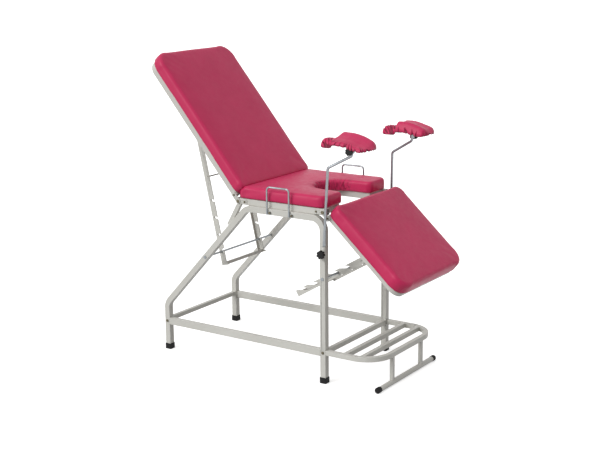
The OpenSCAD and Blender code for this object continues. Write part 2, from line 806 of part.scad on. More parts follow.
module stirrup_sockets() color("gainsboro") for (side = [-1, 1]) on_socket(side) difference() {
    union() {
        translate([0, 0, -socket_l / 2]) cylinder(h = socket_l, d = socket_d);
        on_side(side) cross_pin(0, 0, boss_d, -socket_d / 2 - boss_h, 0);
    }
    translate([0, 0, -socket_l / 2 - over]) cylinder(h = socket_l + 2 * over, d = rod_d + 2 * run_fit);
    on_side(side) cross_pin(0, 0, stud_d + 2 * run_fit, -socket_d, 0);
}

// Lobed clamp knob of diameter d on its stud, whose neck starts at distance y from the rod's axis
module star_knob(side, d, y) {
    on_side(side) {
        upright(-y - knob_t, knob_t - knob_neck) {
            circle(d = d - knob_lobe_d);
            for (i = [0:knob_lobes - 1]) rotate(360 * i / knob_lobes)
                translate([(d - knob_lobe_d) / 2, 0]) circle(d = knob_lobe_d);
        }
        cross_pin(0, 0, boss_d, -y - knob_neck, -y);
        cross_pin(0, 0, stud_d, -y, -rod_d / 2 - gap);
    }
}

module clamp_knob(side) {
    on_socket(side) star_knob(side, knob_d, socket_d / 2 + boss_h + gap);
}

module near_clamp_knob() color("dimgray") clamp_knob(-1);

module far_clamp_knob() color("dimgray") clamp_knob(1);

// Backrest

back_line = moving_half - tube / 2;
back_path = [
    [-moving_start, -back_line], [tube / 2 - back_end, -back_line, back_corner - tube / 2],
    [tube / 2 - back_end, back_line, back_corner - tube / 2], [-moving_start, back_line]
];
back_cross = [back_member, back_strut_u + lug_run + tube / 2];

module back_frame() color("gainsboro") on_back() translate([0, 0, -tube / 2]) difference() {
    union() {
        skin(back_path, tube, tube);
        for (u = back_cross) skin([[-u, -back_line], [-u, back_line]], tube, tube);
    }
    bore(back_path, tube, tube, over);
    for (u = back_cross) bore([[-u, -back_line], [-u, back_line]], tube, tube, 0);
}

module back_board() color("peru") on_back() translate([0, 0, pad_z])
    board(-back_gap - back_l, back_l, back_corner, square_corner);

module back_cushion() color("palevioletred") on_back() translate([0, 0, pad_z])
    crowned_pad(-back_gap - back_l, back_l, back_corner, square_corner);

module back_hinge_leaves() color("gainsboro") on_back() both_sides() moving_leaf(-1);

module back_screws() color("gray") on_back() both_sides()
    screw_head(-leaf_screw, -seat_half - 2 * leaf_t - gap);

// Lug plate beside a strut with the stud that the strut hangs on; x is toward the lug's tube
module lug(x, z_stud, z_tube, run, w) {
    y = -strut_half_y - strut_t / 2 - gap - strut_t;
    upright(y, strut_t) {
        translate([x, z_stud]) circle(lug_r);
        polygon([
            [x, z_stud - lug_r], [x, z_stud + lug_r], [x + run, z_tube], [x + run + sign(run) * w, z_tube],
            [x + run + sign(run) * w, z_tube - lug_fall]
        ]);
    }
    cross_pin(x, z_stud, pin_d, y, -strut_half_y + strut_t / 2 + gap);
    cross_pin(x, z_stud, pin_head_d, -strut_half_y + strut_t / 2 + gap, -strut_half_y + strut_t / 2 + gap + pin_head_h);
}

module back_strut_lugs() color("silver") on_back() both_sides()
    lug(-back_strut_u, -tube / 2 - stud_drop, -tube / 2, -lug_run, tube);

// Slanted slot from the round pocket at p toward angle a, widening by spread, for a rod of diameter d
module slot(p, a, d, spread) {
    r = d / 2 + slot_fit;
    low = min(a, a + spread);
    high = max(a, a + spread);
    translate(p) polygon(concat(
        [for (k = [0:slot_steps]) let (b = high + 90 + (180 + low - high) * k / slot_steps) r * [cos(b), sin(b)]],
        [2 * strut_w * [cos(low), sin(low)] + r * [sin(low), -cos(low)],
            2 * strut_w * [cos(high), sin(high)] + r * [-sin(high), cos(high)]]
    ));
}

// Back strut's plate, hanging from the origin: hooks point down, the last slot opens along the rod's way out
module back_strut_plate() {
    difference() {
        union() {
            circle(strut_w / 2);
            translate([-strut_w / 2, -back_strut_l]) square([strut_w, back_strut_l]);
            translate([0, -back_strut_l]) square([strut_w / 2 + strut_tab, strut_tab]);
        }
        circle(d = pin_d + 2 * run_fit);
        slot([0, -back_reach], free_slot_a, back_rod_d, free_slot_spread);
        for (i = [1:back_notches])
            slot([0, i * back_pitch - back_reach], -hook_slot_a, back_rod_d, 0);
        translate([tie_w, -tie_drop]) circle(d = tie_d + 2 * hole_fit);
    }
}

// The far strut is the near one's mirror image, so its flange also points inward
module back_strut(side) {
    on_side(side) {
        upright(-strut_half_y - strut_t / 2, strut_t) back_strut_plate();
        translate([-strut_w / 2, strut_t / 2 - strut_half_y, -back_strut_l])
            cube([strut_t, flange - strut_t, back_strut_l - strut_w]);
    }
}

module near_back_strut() color("gainsboro") on_back_strut() back_strut(-1);

module far_back_strut() color("gainsboro") on_back_strut() back_strut(1);

module back_strut_tie() color("dimgray") on_back_strut()
    cross_pin(tie_w, -tie_drop, tie_d, -strut_half_y - strut_t / 2, strut_half_y + strut_t / 2);

module back_strut_bar() color("gainsboro") on_back_strut()
    translate([-strut_bar / 2 + strut_t, strut_t / 2 - strut_half_y, -back_strut_l])
        cube([strut_bar, strut_gap - strut_t, strut_bar]);

// Leg section

leg_line = moving_half - leg_tube / 2;
leg_path = [
    [moving_start, -leg_line], [leg_end - leg_tube / 2, -leg_line, leg_corner - leg_tube / 2],
    [leg_end - leg_tube / 2, leg_line, leg_corner - leg_tube / 2], [moving_start, leg_line]
];
leg_cross = [leg_member, leg_strut_u + lug_run + leg_tube / 2];

module leg_frame() color("gainsboro") on_leg() translate([0, 0, leg_bottom]) difference() {
    union() {
        skin(leg_path, leg_tube, leg_tube);
        for (u = leg_cross) skin([[u, -leg_line], [u, leg_line]], leg_tube, leg_tube);
    }
    bore(leg_path, leg_tube, leg_tube, over);
    for (u = leg_cross) bore([[u, -leg_line], [u, leg_line]], leg_tube, leg_tube, 0);
}

module leg_board() color("peru") on_leg() translate([0, 0, pad_z])
    board(leg_gap, leg_l, square_corner, leg_corner);

module leg_cushion() color("palevioletred") on_leg() translate([0, 0, pad_z])
    crowned_pad(leg_gap, leg_l, square_corner, leg_corner);

module leg_hinge_leaves() color("gainsboro") on_leg() both_sides() moving_leaf(1);

module leg_screws() color("gray") on_leg() both_sides()
    screw_head(leaf_screw, -seat_half - 2 * leaf_t - gap);

module leg_strut_lugs() color("silver") on_leg() both_sides()
    lug(leg_strut_u, leg_bottom - leg_stud_drop, leg_bottom, lug_run, leg_tube);

// Leg strut's plate, lying toward -X: hooks on the upper edge point to the tail
module leg_strut_plate() {
    difference() {
        union() {
            circle(strut_w / 2);
            translate([-leg_strut_l, -strut_w / 2]) square([leg_strut_l, strut_w]);
        }
        circle(d = pin_d + 2 * run_fit);
        for (i = [-leg_notches_before:leg_notches_after])
            slot([-leg_reach - i * leg_pitch, 0], 180 - leg_slot_a, leg_rod_d, -leg_slot_spread);
    }
}

module leg_strut(side) {
    upright(side * strut_half_y - strut_t / 2, strut_t) leg_strut_plate();
}

module near_leg_strut() color("gainsboro") on_leg_strut() leg_strut(-1);

module far_leg_strut() color("gainsboro") on_leg_strut() leg_strut(1);

module leg_strut_bar() color("gainsboro") on_leg_strut()
    translate([-leg_strut_l, strut_t / 2 - strut_half_y, -strut_bar / 2])
        cube([strut_bar, strut_gap - strut_t, strut_bar]);

// Leg rests

module rod_plug(side) {
    on_socket(side) translate([0, 0, rod_foot - plug_h]) cylinder(h = plug_h, d = rod_d);
}

module near_rod_plug() color("silver") rod_plug(-1);

module far_rod_plug() color("silver") rod_plug(1);

module stirrup_rod(side) {
    on_socket(side) rotate([0, 0, -side * swivel]) rotate([90, 0, 0])
        rod([
            [0, rod_foot], [0, rise(side), rod_bend], [crank_l, crank_top(side), rod_bend],
            [crank_l, rod_end(side)]
        ], rod_d);
}

module near_stirrup_rod() color("silver") stirrup_rod(-1);

module far_stirrup_rod() color("silver") stirrup_rod(1);

// Sleeve on the rod's end with a boss for its knob and the plate under the pad
module rest_sleeve(side) {
    start = sleeve_start(side);
    on_rest(side) {
        difference() {
            union() {
                translate([0, 0, start]) cylinder(h = rest_z(side) - plate_t - start, d = sleeve_d);
                translate([0, 0, start + boss_d / 2]) on_side(side) cross_pin(0, 0, boss_d, -sleeve_d / 2 - boss_h, 0);
            }
            translate([0, 0, start - over]) cylinder(h = rod_end(side) - start + gap + over, d = rod_d + 2 * run_fit);
            translate([0, 0, start + boss_d / 2]) on_side(side) cross_pin(0, 0, stud_d + 2 * run_fit, -sleeve_d, 0);
        }
        translate([0, 0, rest_z(side) - plate_t]) linear_extrude(plate_t)
            round_sheet(plate_fore - plate_l / 2, plate_fore + plate_l / 2, plate_w, lug_r, lug_r);
    }
}

module near_rest_sleeve() color("silver") rest_sleeve(-1);

module far_rest_sleeve() color("silver") rest_sleeve(1);

module rest_knob(side) {
    on_rest(side) translate([0, 0, sleeve_start(side) + boss_d / 2])
        star_knob(side, rest_knob_d, sleeve_d / 2 + boss_h + gap);
}

module near_rest_knob() color("dimgray") rest_knob(-1);

module far_rest_knob() color("dimgray") rest_knob(1);

function eased(t) = t <= 0 ? 0 : t >= 1 ? 1 : t * t * (3 - 2 * t);
function swell(t) = eased((t - nose_share) / nose_share * 2 + 0.5);
function round_off(t) = sqrt(1 - pow(abs(2 * t - 1), 6));
function rest_half(t) = rest_w / 2 * (nose_w_share + (1 - nose_w_share) * swell(t)) * round_off(t);
function rest_rim(t) = rest_h * (nose_h_share + (1 - nose_h_share) * swell(t))
    * (1 - fall_share * pow(max(0, t - nose_share) / (1 - nose_share), 3)) * pow(round_off(t), 0.5);
function rest_point(t, a) = let (
    y = rest_half(t) * sign(cos(a)) * pow(abs(cos(a)), 0.45),
    dip = rest_rim(t) * dip_share * (1 - pow(abs(y) / max(rest_half(t), gap), 2)),
    lift = 1 + inner_share * 2 * y / rest_w,
    z = a <= 180 ? (rest_rim(t) * pow(abs(sin(a)), 0.5) - dip * abs(sin(a))) * lift : 0
) [rest_l * t - rest_nose, y, z];

// Padded rest, nose toward the patient, on its plate
module rest_pad(side) {
    rings = [for (j = [1:rest_rings - 1]) [for (i = [0:rest_sides - 1])
        rest_point((1 - cos(180 * j / rest_rings)) / 2, 360 * i / rest_sides)]];
    on_rest(side) translate([0, 0, rest_z(side)]) on_side(side)
        ring_form(rings, [-rest_nose, 0, rest_h * nose_h_share / 4], [rest_l - rest_nose, 0, rest_h * fall_share / 4]);
}

module near_rest_pad() color("palevioletred") rest_pad(-1);

module far_rest_pad() color("palevioletred") rest_pad(1);

near_side_frame();
far_side_frame();
lower_rails();
rear_cross_tube();
front_cross_tube();
step_frame();
step_slats();
step_posts();
foot_bar();
foot_bar_caps();
leg_caps();
rail_bolts();
seat_frame();
seat_board();
seat_cushion();
seat_hinge_leaves();
seat_screws();
hinge_pins();
braces();
near_hand_grip();
far_hand_grip();
grip_bolts();
back_ratchet_rod();
leg_ratchet_rod();
stirrup_sockets();
near_clamp_knob();
far_clamp_knob();
back_frame();
back_board();
back_cushion();
back_hinge_leaves();
back_screws();
back_strut_lugs();
near_back_strut();
far_back_strut();
back_strut_tie();
back_strut_bar();
leg_frame();
leg_board();
leg_cushion();
leg_hinge_leaves();
leg_screws();
leg_strut_lugs();
near_leg_strut();
far_leg_strut();
leg_strut_bar();
near_rod_plug();
near_stirrup_rod();
near_rest_sleeve();
near_rest_pad();
near_rest_knob();
far_rod_plug();
far_stirrup_rod();
far_rest_sleeve();
far_rest_pad();
far_rest_knob();
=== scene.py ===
# Examination table with leg rests: vinyl upholstery on a powder-coated tube frame, zinc-plated rods and black
# caps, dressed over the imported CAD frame. Metres, +X to the foot end, +Z up.
import json
import math
import bmesh
import bpy
import numpy as np
from mathutils import Matrix, Vector, noise


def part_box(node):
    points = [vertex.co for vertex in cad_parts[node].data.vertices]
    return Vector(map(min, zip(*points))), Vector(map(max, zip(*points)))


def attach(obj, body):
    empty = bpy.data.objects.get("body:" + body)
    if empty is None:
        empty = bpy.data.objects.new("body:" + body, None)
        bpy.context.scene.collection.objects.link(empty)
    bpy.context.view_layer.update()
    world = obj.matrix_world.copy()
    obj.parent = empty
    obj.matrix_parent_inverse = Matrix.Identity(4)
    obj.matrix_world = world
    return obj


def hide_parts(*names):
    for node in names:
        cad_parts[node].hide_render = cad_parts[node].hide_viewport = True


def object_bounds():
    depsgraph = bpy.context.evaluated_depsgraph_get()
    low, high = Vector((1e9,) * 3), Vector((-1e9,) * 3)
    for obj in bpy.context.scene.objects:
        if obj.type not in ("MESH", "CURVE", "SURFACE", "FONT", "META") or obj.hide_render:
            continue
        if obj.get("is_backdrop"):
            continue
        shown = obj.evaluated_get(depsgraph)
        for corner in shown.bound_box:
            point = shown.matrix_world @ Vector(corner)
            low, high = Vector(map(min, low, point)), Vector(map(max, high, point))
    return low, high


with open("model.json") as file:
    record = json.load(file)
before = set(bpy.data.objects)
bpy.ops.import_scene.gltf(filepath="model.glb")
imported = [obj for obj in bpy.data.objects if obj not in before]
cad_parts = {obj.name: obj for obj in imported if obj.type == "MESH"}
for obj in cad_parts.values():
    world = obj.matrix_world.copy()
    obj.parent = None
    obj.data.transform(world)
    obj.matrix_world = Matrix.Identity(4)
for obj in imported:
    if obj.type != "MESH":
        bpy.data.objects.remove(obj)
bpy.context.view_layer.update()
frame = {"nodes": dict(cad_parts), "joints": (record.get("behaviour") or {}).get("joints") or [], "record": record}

MM = 0.001
SAME_POINT = 0.00001                              # points of the CAD's facets nearer than this are one point
JOINTS = {joint["name"]: joint for joint in frame["joints"]}
FRONT_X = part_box("near_side_frame")[1].x          # front face of the front legs
BACK_TILT, LEG_TILT = math.radians(50), math.radians(42)          # from level, as photographed
LEVEL = Matrix.Translation((FRONT_X, 0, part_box("seat_frame")[1].z))
BACK = Matrix.Translation(JOINTS["backrest_tilt"]["pos_m"]) @ Matrix.Rotation(BACK_TILT, 4, "Y")
LEG = Matrix.Translation(JOINTS["leg_section_tilt"]["pos_m"]) @ Matrix.Rotation(LEG_TILT, 4, "Y")

# The leg rests' rods, in millimetres and degrees: where their sockets stand, and the crank at their top
SOCKET_Y, SOCKET_Z = 290, 601
CRANK_L, CRANK_TURN = 110, 7
SIDE_OF = {"near": -1, "far": 1}
LEAN_OF = {"near": 3.4, "far": 1.0}
RISE_OF = {"near": 488.3, "far": 470.3}


def rest_frame(side, lean, rise):
    """The pad's own frame on top of its rod; side is -1 near and 1 far."""
    turn = math.radians(CRANK_TURN)
    crank = Vector((CRANK_L * MM * math.cos(turn), -side * CRANK_L * MM * math.sin(turn), rise * MM))
    socket = Matrix.Translation((FRONT_X, side * SOCKET_Y * MM, SOCKET_Z * MM))
    return socket @ Matrix.Rotation(math.radians(lean), 4, "Y") @ Matrix.Translation(crank)


RESTS = {name: rest_frame(side, LEAN_OF[name], RISE_OF[name]) for name, side in SIDE_OF.items()}

# Camera


def aim_camera():
    """Puts the camera where the photograph was taken from, in a 600 by 450 frame."""
    azimuth, elevation, roll = math.radians(34.16), math.radians(13.03), math.radians(-0.55)
    distance, focal_px, frame_px = 5.6583, 1213.92, 600
    target = Vector((FRONT_X - 0.31931, 0, 0.63292))
    across = math.cos(elevation)
    look = Vector((-math.sin(azimuth) * across, math.cos(azimuth) * across, -math.sin(elevation)))
    level = Vector((math.cos(azimuth), math.sin(azimuth), 0))
    rise = level.cross(look)
    right = math.cos(roll) * level + math.sin(roll) * rise
    up = -math.sin(roll) * level + math.cos(roll) * rise
    data = bpy.data.cameras.new("camera")
    data.sensor_width = 36
    data.lens = focal_px / frame_px * data.sensor_width
    camera = bpy.data.objects.new("camera", data)
    bpy.context.scene.collection.objects.link(camera)
    place = Matrix((right, up, -look)).transposed().to_4x4()
    place.translation = target - distance * look
    camera.matrix_world = place
    bpy.context.scene.camera = camera


aim_camera()

# Materials

# Sockets that are given by number: of a colour mix, a map range and a random value
FACTOR, FIRST, SECOND, MIXED = 0, 6, 7, 2
VALUE, FROM_LOW, FROM_HIGH, TO_LOW, TO_HIGH = 0, 1, 2, 3, 4
LEAST, MOST, SEED, DRAWN = 2, 3, 8, 1


def colour(code):
    """Linear colour from an sRGB hex code."""
    parts = [int(code[i:i + 2], 16) / 255 for i in (1, 3, 5)]
    return (*[c / 12.92 if c <= 0.04045 else ((c + 0.055) / 1.055) ** 2.4 for c in parts], 1)


def add(tree, kind, inputs=None, **settings):
    """A node with its settings; inputs maps a socket's name or number to a value or to a node's output."""
    made = tree.nodes.new(kind)
    for name, value in settings.items():
        setattr(made, name, value)
    for name, value in (inputs or {}).items():
        if isinstance(value, bpy.types.NodeSocket):
            tree.links.new(value, made.inputs[name])
        else:
            made.inputs[name].default_value = value
    return made


def new_material(name):
    """A material with an empty node tree, and that tree."""
    material = bpy.data.materials.new(name)
    material.use_nodes = True
    tree = material.node_tree
    tree.nodes.clear()
    return material, tree


def coated_vinyl():
    """Calendered PVC on knit backing: an embossed pebble under a satin top coat, darkened by painted shade
    inside the gathers."""
    material, tree = new_material("raspberry PVC-coated upholstery vinyl")
    where = add(tree, "ShaderNodeTexCoord").outputs["Object"]
    # painted shade: how deep each point lies in a crease or fold, as noted on its mesh
    fold = add(tree, "ShaderNodeAttribute", attribute_name="painted_shade").outputs["Fac"]
    patch = add(tree, "ShaderNodeTexNoise", {"Vector": where, "Scale": 11, "Detail": 3}).outputs["Fac"]
    tone = add(tree, "ShaderNodeMix", {FACTOR: patch, FIRST: colour("#B82051"), SECOND: colour("#C62C5C")},
               data_type="RGBA").outputs[MIXED]
    # painted shade: the colour is darkened towards this deep red in the creases, where the real vinyl is only
    # shaded
    shade = add(tree, "ShaderNodeMix", {FACTOR: fold, FIRST: tone, SECOND: colour("#6A0C2C")},
                data_type="RGBA").outputs[MIXED]
    # the emboss is drawn at 2.2 mm, since its real 1 mm is too fine for the render
    pebble = add(tree, "ShaderNodeTexVoronoi", {"Vector": where, "Scale": 455},
                 feature="SMOOTH_F1").outputs["Distance"]
    lie = add(tree, "ShaderNodeTexNoise", {
        "Vector": where, "Scale": 26, "Detail": 2, "Roughness": 0.4}).outputs["Fac"]
    fine = add(tree, "ShaderNodeBump", {"Height": pebble, "Distance": 0.08 * MM, "Strength": 1}).outputs[0]
    normal = add(tree, "ShaderNodeBump", {
        "Height": lie, "Distance": 0.5 * MM, "Strength": 1, "Normal": fine}).outputs[0]
    rub = add(tree, "ShaderNodeTexNoise", {"Vector": where, "Scale": 45, "Detail": 2}).outputs["Fac"]
    rough = add(tree, "ShaderNodeMapRange", {
        VALUE: rub, FROM_LOW: 0.3, FROM_HIGH: 0.7, TO_LOW: 0.36, TO_HIGH: 0.47}).outputs[0]
    shader = add(tree, "ShaderNodeBsdfPrincipled", {
        "Base Color": shade, "Normal": normal, "IOR": 1.5, "Roughness": rough, "Specular IOR Level": 0.27})
    add(tree, "ShaderNodeOutputMaterial", {"Surface": shader.outputs[0]})
    return material


def powder_coat():
    """Baked polyester powder on mild steel: orange peel, satin, with small grey scuffs here and there."""
    material, tree = new_material("off-white polyester powder coat")
    where = add(tree, "ShaderNodeTexCoord").outputs["Object"]
    batch = add(tree, "ShaderNodeTexNoise", {"Vector": where, "Scale": 6, "Detail": 3}).outputs["Fac"]
    tone = add(tree, "ShaderNodeMix", {FACTOR: batch, FIRST: colour("#BDBCB5"), SECOND: colour("#CDCCC6")},
               data_type="RGBA").outputs[MIXED]
    speck = add(tree, "ShaderNodeTexNoise", {
        "Vector": where, "Scale": 190, "Detail": 4, "Roughness": 0.7}).outputs["Fac"]
    scuff = add(tree, "ShaderNodeMapRange", {
        VALUE: speck, FROM_LOW: 0.68, FROM_HIGH: 0.76, TO_LOW: 0, TO_HIGH: 0.4}).outputs[0]
    worn = add(tree, "ShaderNodeMix", {FACTOR: scuff, FIRST: tone, SECOND: colour("#8F8B7E")},
               data_type="RGBA").outputs[MIXED]
    peel = add(tree, "ShaderNodeTexNoise", {"Vector": where, "Scale": 330, "Detail": 1}).outputs["Fac"]
    normal = add(tree, "ShaderNodeBump", {"Height": peel, "Distance": 0.05 * MM, "Strength": 1}).outputs[0]
    rough = add(tree, "ShaderNodeMapRange", {
        VALUE: batch, FROM_LOW: 0.3, FROM_HIGH: 0.7, TO_LOW: 0.34, TO_HIGH: 0.45}).outputs[0]
    shader = add(tree, "ShaderNodeBsdfPrincipled", {
        "Base Color": worn, "Normal": normal, "IOR": 1.5, "Roughness": rough})
    add(tree, "ShaderNodeOutputMaterial", {"Surface": shader.outputs[0]})
    return material


def zinc_plate(name, light, dark, smooth):
    """Electroplated zinc on drawn steel: soft grey with faint drawing streaks and a mottled passivation."""
    material, tree = new_material(name)
    where = add(tree, "ShaderNodeTexCoord").outputs["Object"]
    mottle = add(tree, "ShaderNodeTexNoise", {"Vector": where, "Scale": 110, "Detail": 3}).outputs["Fac"]
    tone = add(tree, "ShaderNodeMix", {FACTOR: mottle, FIRST: colour(dark), SECOND: colour(light)},
               data_type="RGBA").outputs[MIXED]
    drawn = add(tree, "ShaderNodeMapping", {"Vector": where, "Scale": (1, 1, 0.12)}).outputs[0]
    streak = add(tree, "ShaderNodeTexNoise", {"Vector": drawn, "Scale": 500, "Detail": 2}).outputs["Fac"]
    normal = add(tree, "ShaderNodeBump", {"Height": streak, "Distance": 0.03 * MM, "Strength": 1}).outputs[0]
    rough = add(tree, "ShaderNodeMapRange", {
        VALUE: mottle, FROM_LOW: 0.3, FROM_HIGH: 0.7, TO_LOW: smooth, TO_HIGH: smooth + 0.12}).outputs[0]
    shader = add(tree, "ShaderNodeBsdfPrincipled", {
        "Base Color": tone, "Metallic": 1, "Normal": normal, "Roughness": rough})
    add(tree, "ShaderNodeOutputMaterial", {"Surface": shader.outputs[0]})
    return material


def moulded(name, light, dark, smooth, grain_mm, depth_mm):
    """Injection-moulded black: an even colour with the tool's spark-eroded grain."""
    material, tree = new_material(name)
    where = add(tree, "ShaderNodeTexCoord").outputs["Object"]
    flow = add(tree, "ShaderNodeTexNoise", {"Vector": where, "Scale": 33, "Detail": 2}).outputs["Fac"]
    tone = add(tree, "ShaderNodeMix", {FACTOR: flow, FIRST: colour(dark), SECOND: colour(light)},
               data_type="RGBA").outputs[MIXED]
    skin = add(tree, "ShaderNodeTexNoise", {
        "Vector": where, "Scale": 1000 / grain_mm, "Detail": 2}).outputs["Fac"]
    normal = add(tree, "ShaderNodeBump", {
        "Height": skin, "Distance": depth_mm * MM, "Strength": 1}).outputs[0]
    rough = add(tree, "ShaderNodeMapRange", {
        VALUE: skin, FROM_LOW: 0.3, FROM_HIGH: 0.7, TO_LOW: smooth, TO_HIGH: smooth + 0.1}).outputs[0]
    shader = add(tree, "ShaderNodeBsdfPrincipled", {
        "Base Color": tone, "Normal": normal, "Specular IOR Level": 0.25, "Roughness": rough})
    add(tree, "ShaderNodeOutputMaterial", {"Surface": shader.outputs[0]})
    return material


def birch_ply():
    """Rotary-cut birch plywood, unsealed: long pale grain with a few darker rays."""
    material, tree = new_material("unsealed birch plywood")
    where = add(tree, "ShaderNodeTexCoord").outputs["Object"]
    board = add(tree, "ShaderNodeMapping", {"Vector": where, "Scale": (0.1, 1, 1)}).outputs[0]
    figure = add(tree, "ShaderNodeTexNoise", {"Vector": board, "Scale": 38, "Detail": 4}).outputs["Fac"]
    ray = add(tree, "ShaderNodeTexNoise", {"Vector": board, "Scale": 330, "Detail": 3}).outputs["Fac"]
    tone = add(tree, "ShaderNodeMix", {FACTOR: figure, FIRST: colour("#A98552"), SECOND: colour("#CFB07C")},
               data_type="RGBA").outputs[MIXED]
    mark = add(tree, "ShaderNodeMapRange", {
        VALUE: ray, FROM_LOW: 0.5, FROM_HIGH: 0.7, TO_LOW: 0, TO_HIGH: 0.35}).outputs[0]
    lined = add(tree, "ShaderNodeMix", {FACTOR: mark, FIRST: tone, SECOND: colour("#7E5F38")},
                data_type="RGBA").outputs[MIXED]
    normal = add(tree, "ShaderNodeBump", {"Height": ray, "Distance": 0.1 * MM, "Strength": 1}).outputs[0]
    shader = add(tree, "ShaderNodeBsdfPrincipled", {"Base Color": lined, "Normal": normal, "Roughness": 0.65})
    add(tree, "ShaderNodeOutputMaterial", {"Surface": shader.outputs[0]})
    return material


VINYL = coated_vinyl()
COAT = powder_coat()
ZINC = zinc_plate("zinc-plated drawn steel rod", light="#9A9EA1", dark="#7C8084", smooth=0.3)
BOLT = zinc_plate("yellowed zinc-plated fasteners", light="#77705E", dark="#4A463C", smooth=0.36)
ABS = moulded("black moulded ABS", light="#0E0E0F", dark="#070708",
              smooth=0.42, grain_mm=1.2, depth_mm=0.05)
RUBBER = moulded("black EPDM rubber", light="#0B0B0C", dark="#050506",
                 smooth=0.62, grain_mm=1.6, depth_mm=0.08)
PLY = birch_ply()
BY_SLOT = {"frame_paint": COAT, "zinc": ZINC, "bolt_steel": BOLT, "black_plastic": ABS, "cap_rubber": RUBBER,
           "plywood": PLY, "vinyl": VINYL}

# Steelwork from the CAD frame

# edge radius in millimetres of each kind of piece, and of the pieces that differ from their kind
EDGE = {"frame_paint": 2.6, "zinc": 0.8, "bolt_steel": 0.7, "black_plastic": 1.6, "cap_rubber": 2.2,
        "plywood": 0.4}
EDGE_OF = {
    "near_back_strut": 0.7, "far_back_strut": 0.7, "near_leg_strut": 0.7, "far_leg_strut": 0.7,
    "seat_hinge_leaves": 0.7, "back_hinge_leaves": 0.7, "leg_hinge_leaves": 0.7,
    "near_clamp_knob": 3.2, "far_clamp_knob": 3.2, "near_rest_knob": 2.8, "far_rest_knob": 2.8,
    "back_strut_bar": 1.2, "leg_strut_bar": 1.2, "braces": 2.0, "stirrup_sockets": 0.8,
    "step_slats": 1.8, "step_posts": 1.4}


def dress_node(node, slot):
    """Gives a CAD node its finish, and rounds its edges as the real stock is."""
    piece = frame["nodes"][node]
    piece.data.materials.clear()
    piece.data.materials.append(BY_SLOT[slot])
    if slot == "vinyl":
        return
    weld = piece.modifiers.new("join facets", "WELD")
    weld.merge_threshold = SAME_POINT
    edge = piece.modifiers.new("rolled edge", "BEVEL")
    edge.width = EDGE_OF.get(node, EDGE[slot]) * MM
    edge.segments = 3
    edge.limit_method = "ANGLE"
    edge.angle_limit = math.radians(38)
    edge.use_clamp_overlap = True
    edge.harden_normals = False


for row in frame["record"]["subparts"]:
    dress_node(row["node"], row["material_slot"])

# Pieces


def shown(name, mesh, material, body):
    """A finished piece: its place is in its mesh, and it rides on its body."""
    piece = bpy.data.objects.new(name, mesh)
    bpy.context.scene.collection.objects.link(piece)
    mesh.materials.clear()
    mesh.materials.append(material)
    mesh.polygons.foreach_set("use_smooth", [True] * len(mesh.polygons))
    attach(piece, body)
    return piece


def points_of(mesh):
    """The mesh's points, one row each."""
    values = np.zeros(len(mesh.vertices) * 3, np.float32)
    mesh.vertices.foreach_get("co", values)
    return values.reshape(-1, 3).astype(float)


def set_points(mesh, points):
    """Moves the mesh's points to the rows of points."""
    mesh.vertices.foreach_set("co", points.astype(np.float32).ravel())
    mesh.update()


def mesh_from(points, faces):
    """A new mesh of these points and faces."""
    mesh = bpy.data.meshes.new("mesh")
    mesh.from_pydata([tuple(p) for p in points], [], faces)
    mesh.update()
    return mesh


def baked(piece):
    """The piece's evaluated mesh; the piece itself goes."""
    bpy.context.view_layer.update()
    mesh = bpy.data.meshes.new_from_object(piece.evaluated_get(bpy.context.evaluated_depsgraph_get()))
    bpy.data.objects.remove(piece)
    return mesh


def rounded_path(corners, step):
    """Closed outline through corners (x, y, radius), in points about step apart, in the order given."""
    count, spans = len(corners), []
    for i in range(count):
        here, last, after = (np.array(corners[k % count][:2], float) for k in (i, i - 1, i + 1))
        radius = corners[i][2]
        before, ahead = ((end - here) / np.linalg.norm(end - here) for end in (last, after))
        half = math.acos(max(-1, min(1, before @ ahead))) / 2
        back = radius / math.tan(half)
        middle = (before + ahead) / np.linalg.norm(before + ahead) * radius / math.sin(half) + here
        a0, a1 = (math.atan2(*(here + way * back - middle)[::-1]) for way in (before, ahead))
        turn = (a1 - a0 + math.pi) % (2 * math.pi) - math.pi
        steps = max(2, int(abs(turn) * radius / step + 0.5))
        angles = [a0 + turn * k / steps for k in range(steps + 1)]
        spans.append([middle + radius * np.array([math.cos(a), math.sin(a)]) for a in angles])
    path = []
    for i, span in enumerate(spans):
        path += span
        gap = spans[(i + 1) % count][0] - span[-1]
        steps = max(1, int(np.linalg.norm(gap) / step + 0.5))
        path += [span[-1] + gap * k / steps for k in range(1, steps)]
    doubled = step * 0.05
    return np.array([p for i, p in enumerate(path) if np.linalg.norm(p - path[i - 1]) > doubled])


def inward(path):
    """Unit normals to the left of a counterclockwise outline."""
    along = np.roll(path, -1, 0) - np.roll(path, 1, 0)
    along /= np.linalg.norm(along, axis=1)[:, None]
    return np.stack([-along[:, 1], along[:, 0]], 1)


def faces_between(rings, count, first=0):
    """Four-sided faces from each closed ring of count points to the next, from the ring numbered first."""
    return [(j * count + i, j * count + (i + 1) % count,
             (j + 1) * count + (i + 1) % count, (j + 1) * count + i)
            for j in range(first, rings - 1) for i in range(count)]


def ring_mesh(path, levels):
    """Closed form whose rings are the outline set in by levels' first number at the height of its second."""
    normals, rings = inward(path), []
    for inset, height in levels:
        ring = path + normals * inset
        rings.append(np.column_stack([ring, np.full(len(ring), height)]))
    count = len(path)
    faces = faces_between(len(levels), count)
    faces.append(tuple(range(count - 1, -1, -1)))
    faces.append(tuple((len(levels) - 1) * count + i for i in range(count)))
    return mesh_from(np.concatenate(rings), faces)


def distance_in(points, path):
    """Distance of each plan point from the outline, and the outline's nearest point's number."""
    best, index = np.full(len(points), 1e9), np.zeros(len(points), int)
    a, b = path, np.roll(path, -1, 0)
    for i in range(len(path)):
        d = b[i] - a[i]
        t = np.clip(((points - a[i]) @ d) / (d @ d), 0, 1)
        far = np.linalg.norm(points - a[i] - t[:, None] * d, axis=1)
        closer = far < best
        best[closer], index[closer] = far[closer], i
    return best, index


PRESSURE, SETTLED = 4.0, 16                       # the cloth's inner pressure, and the frames it is run for


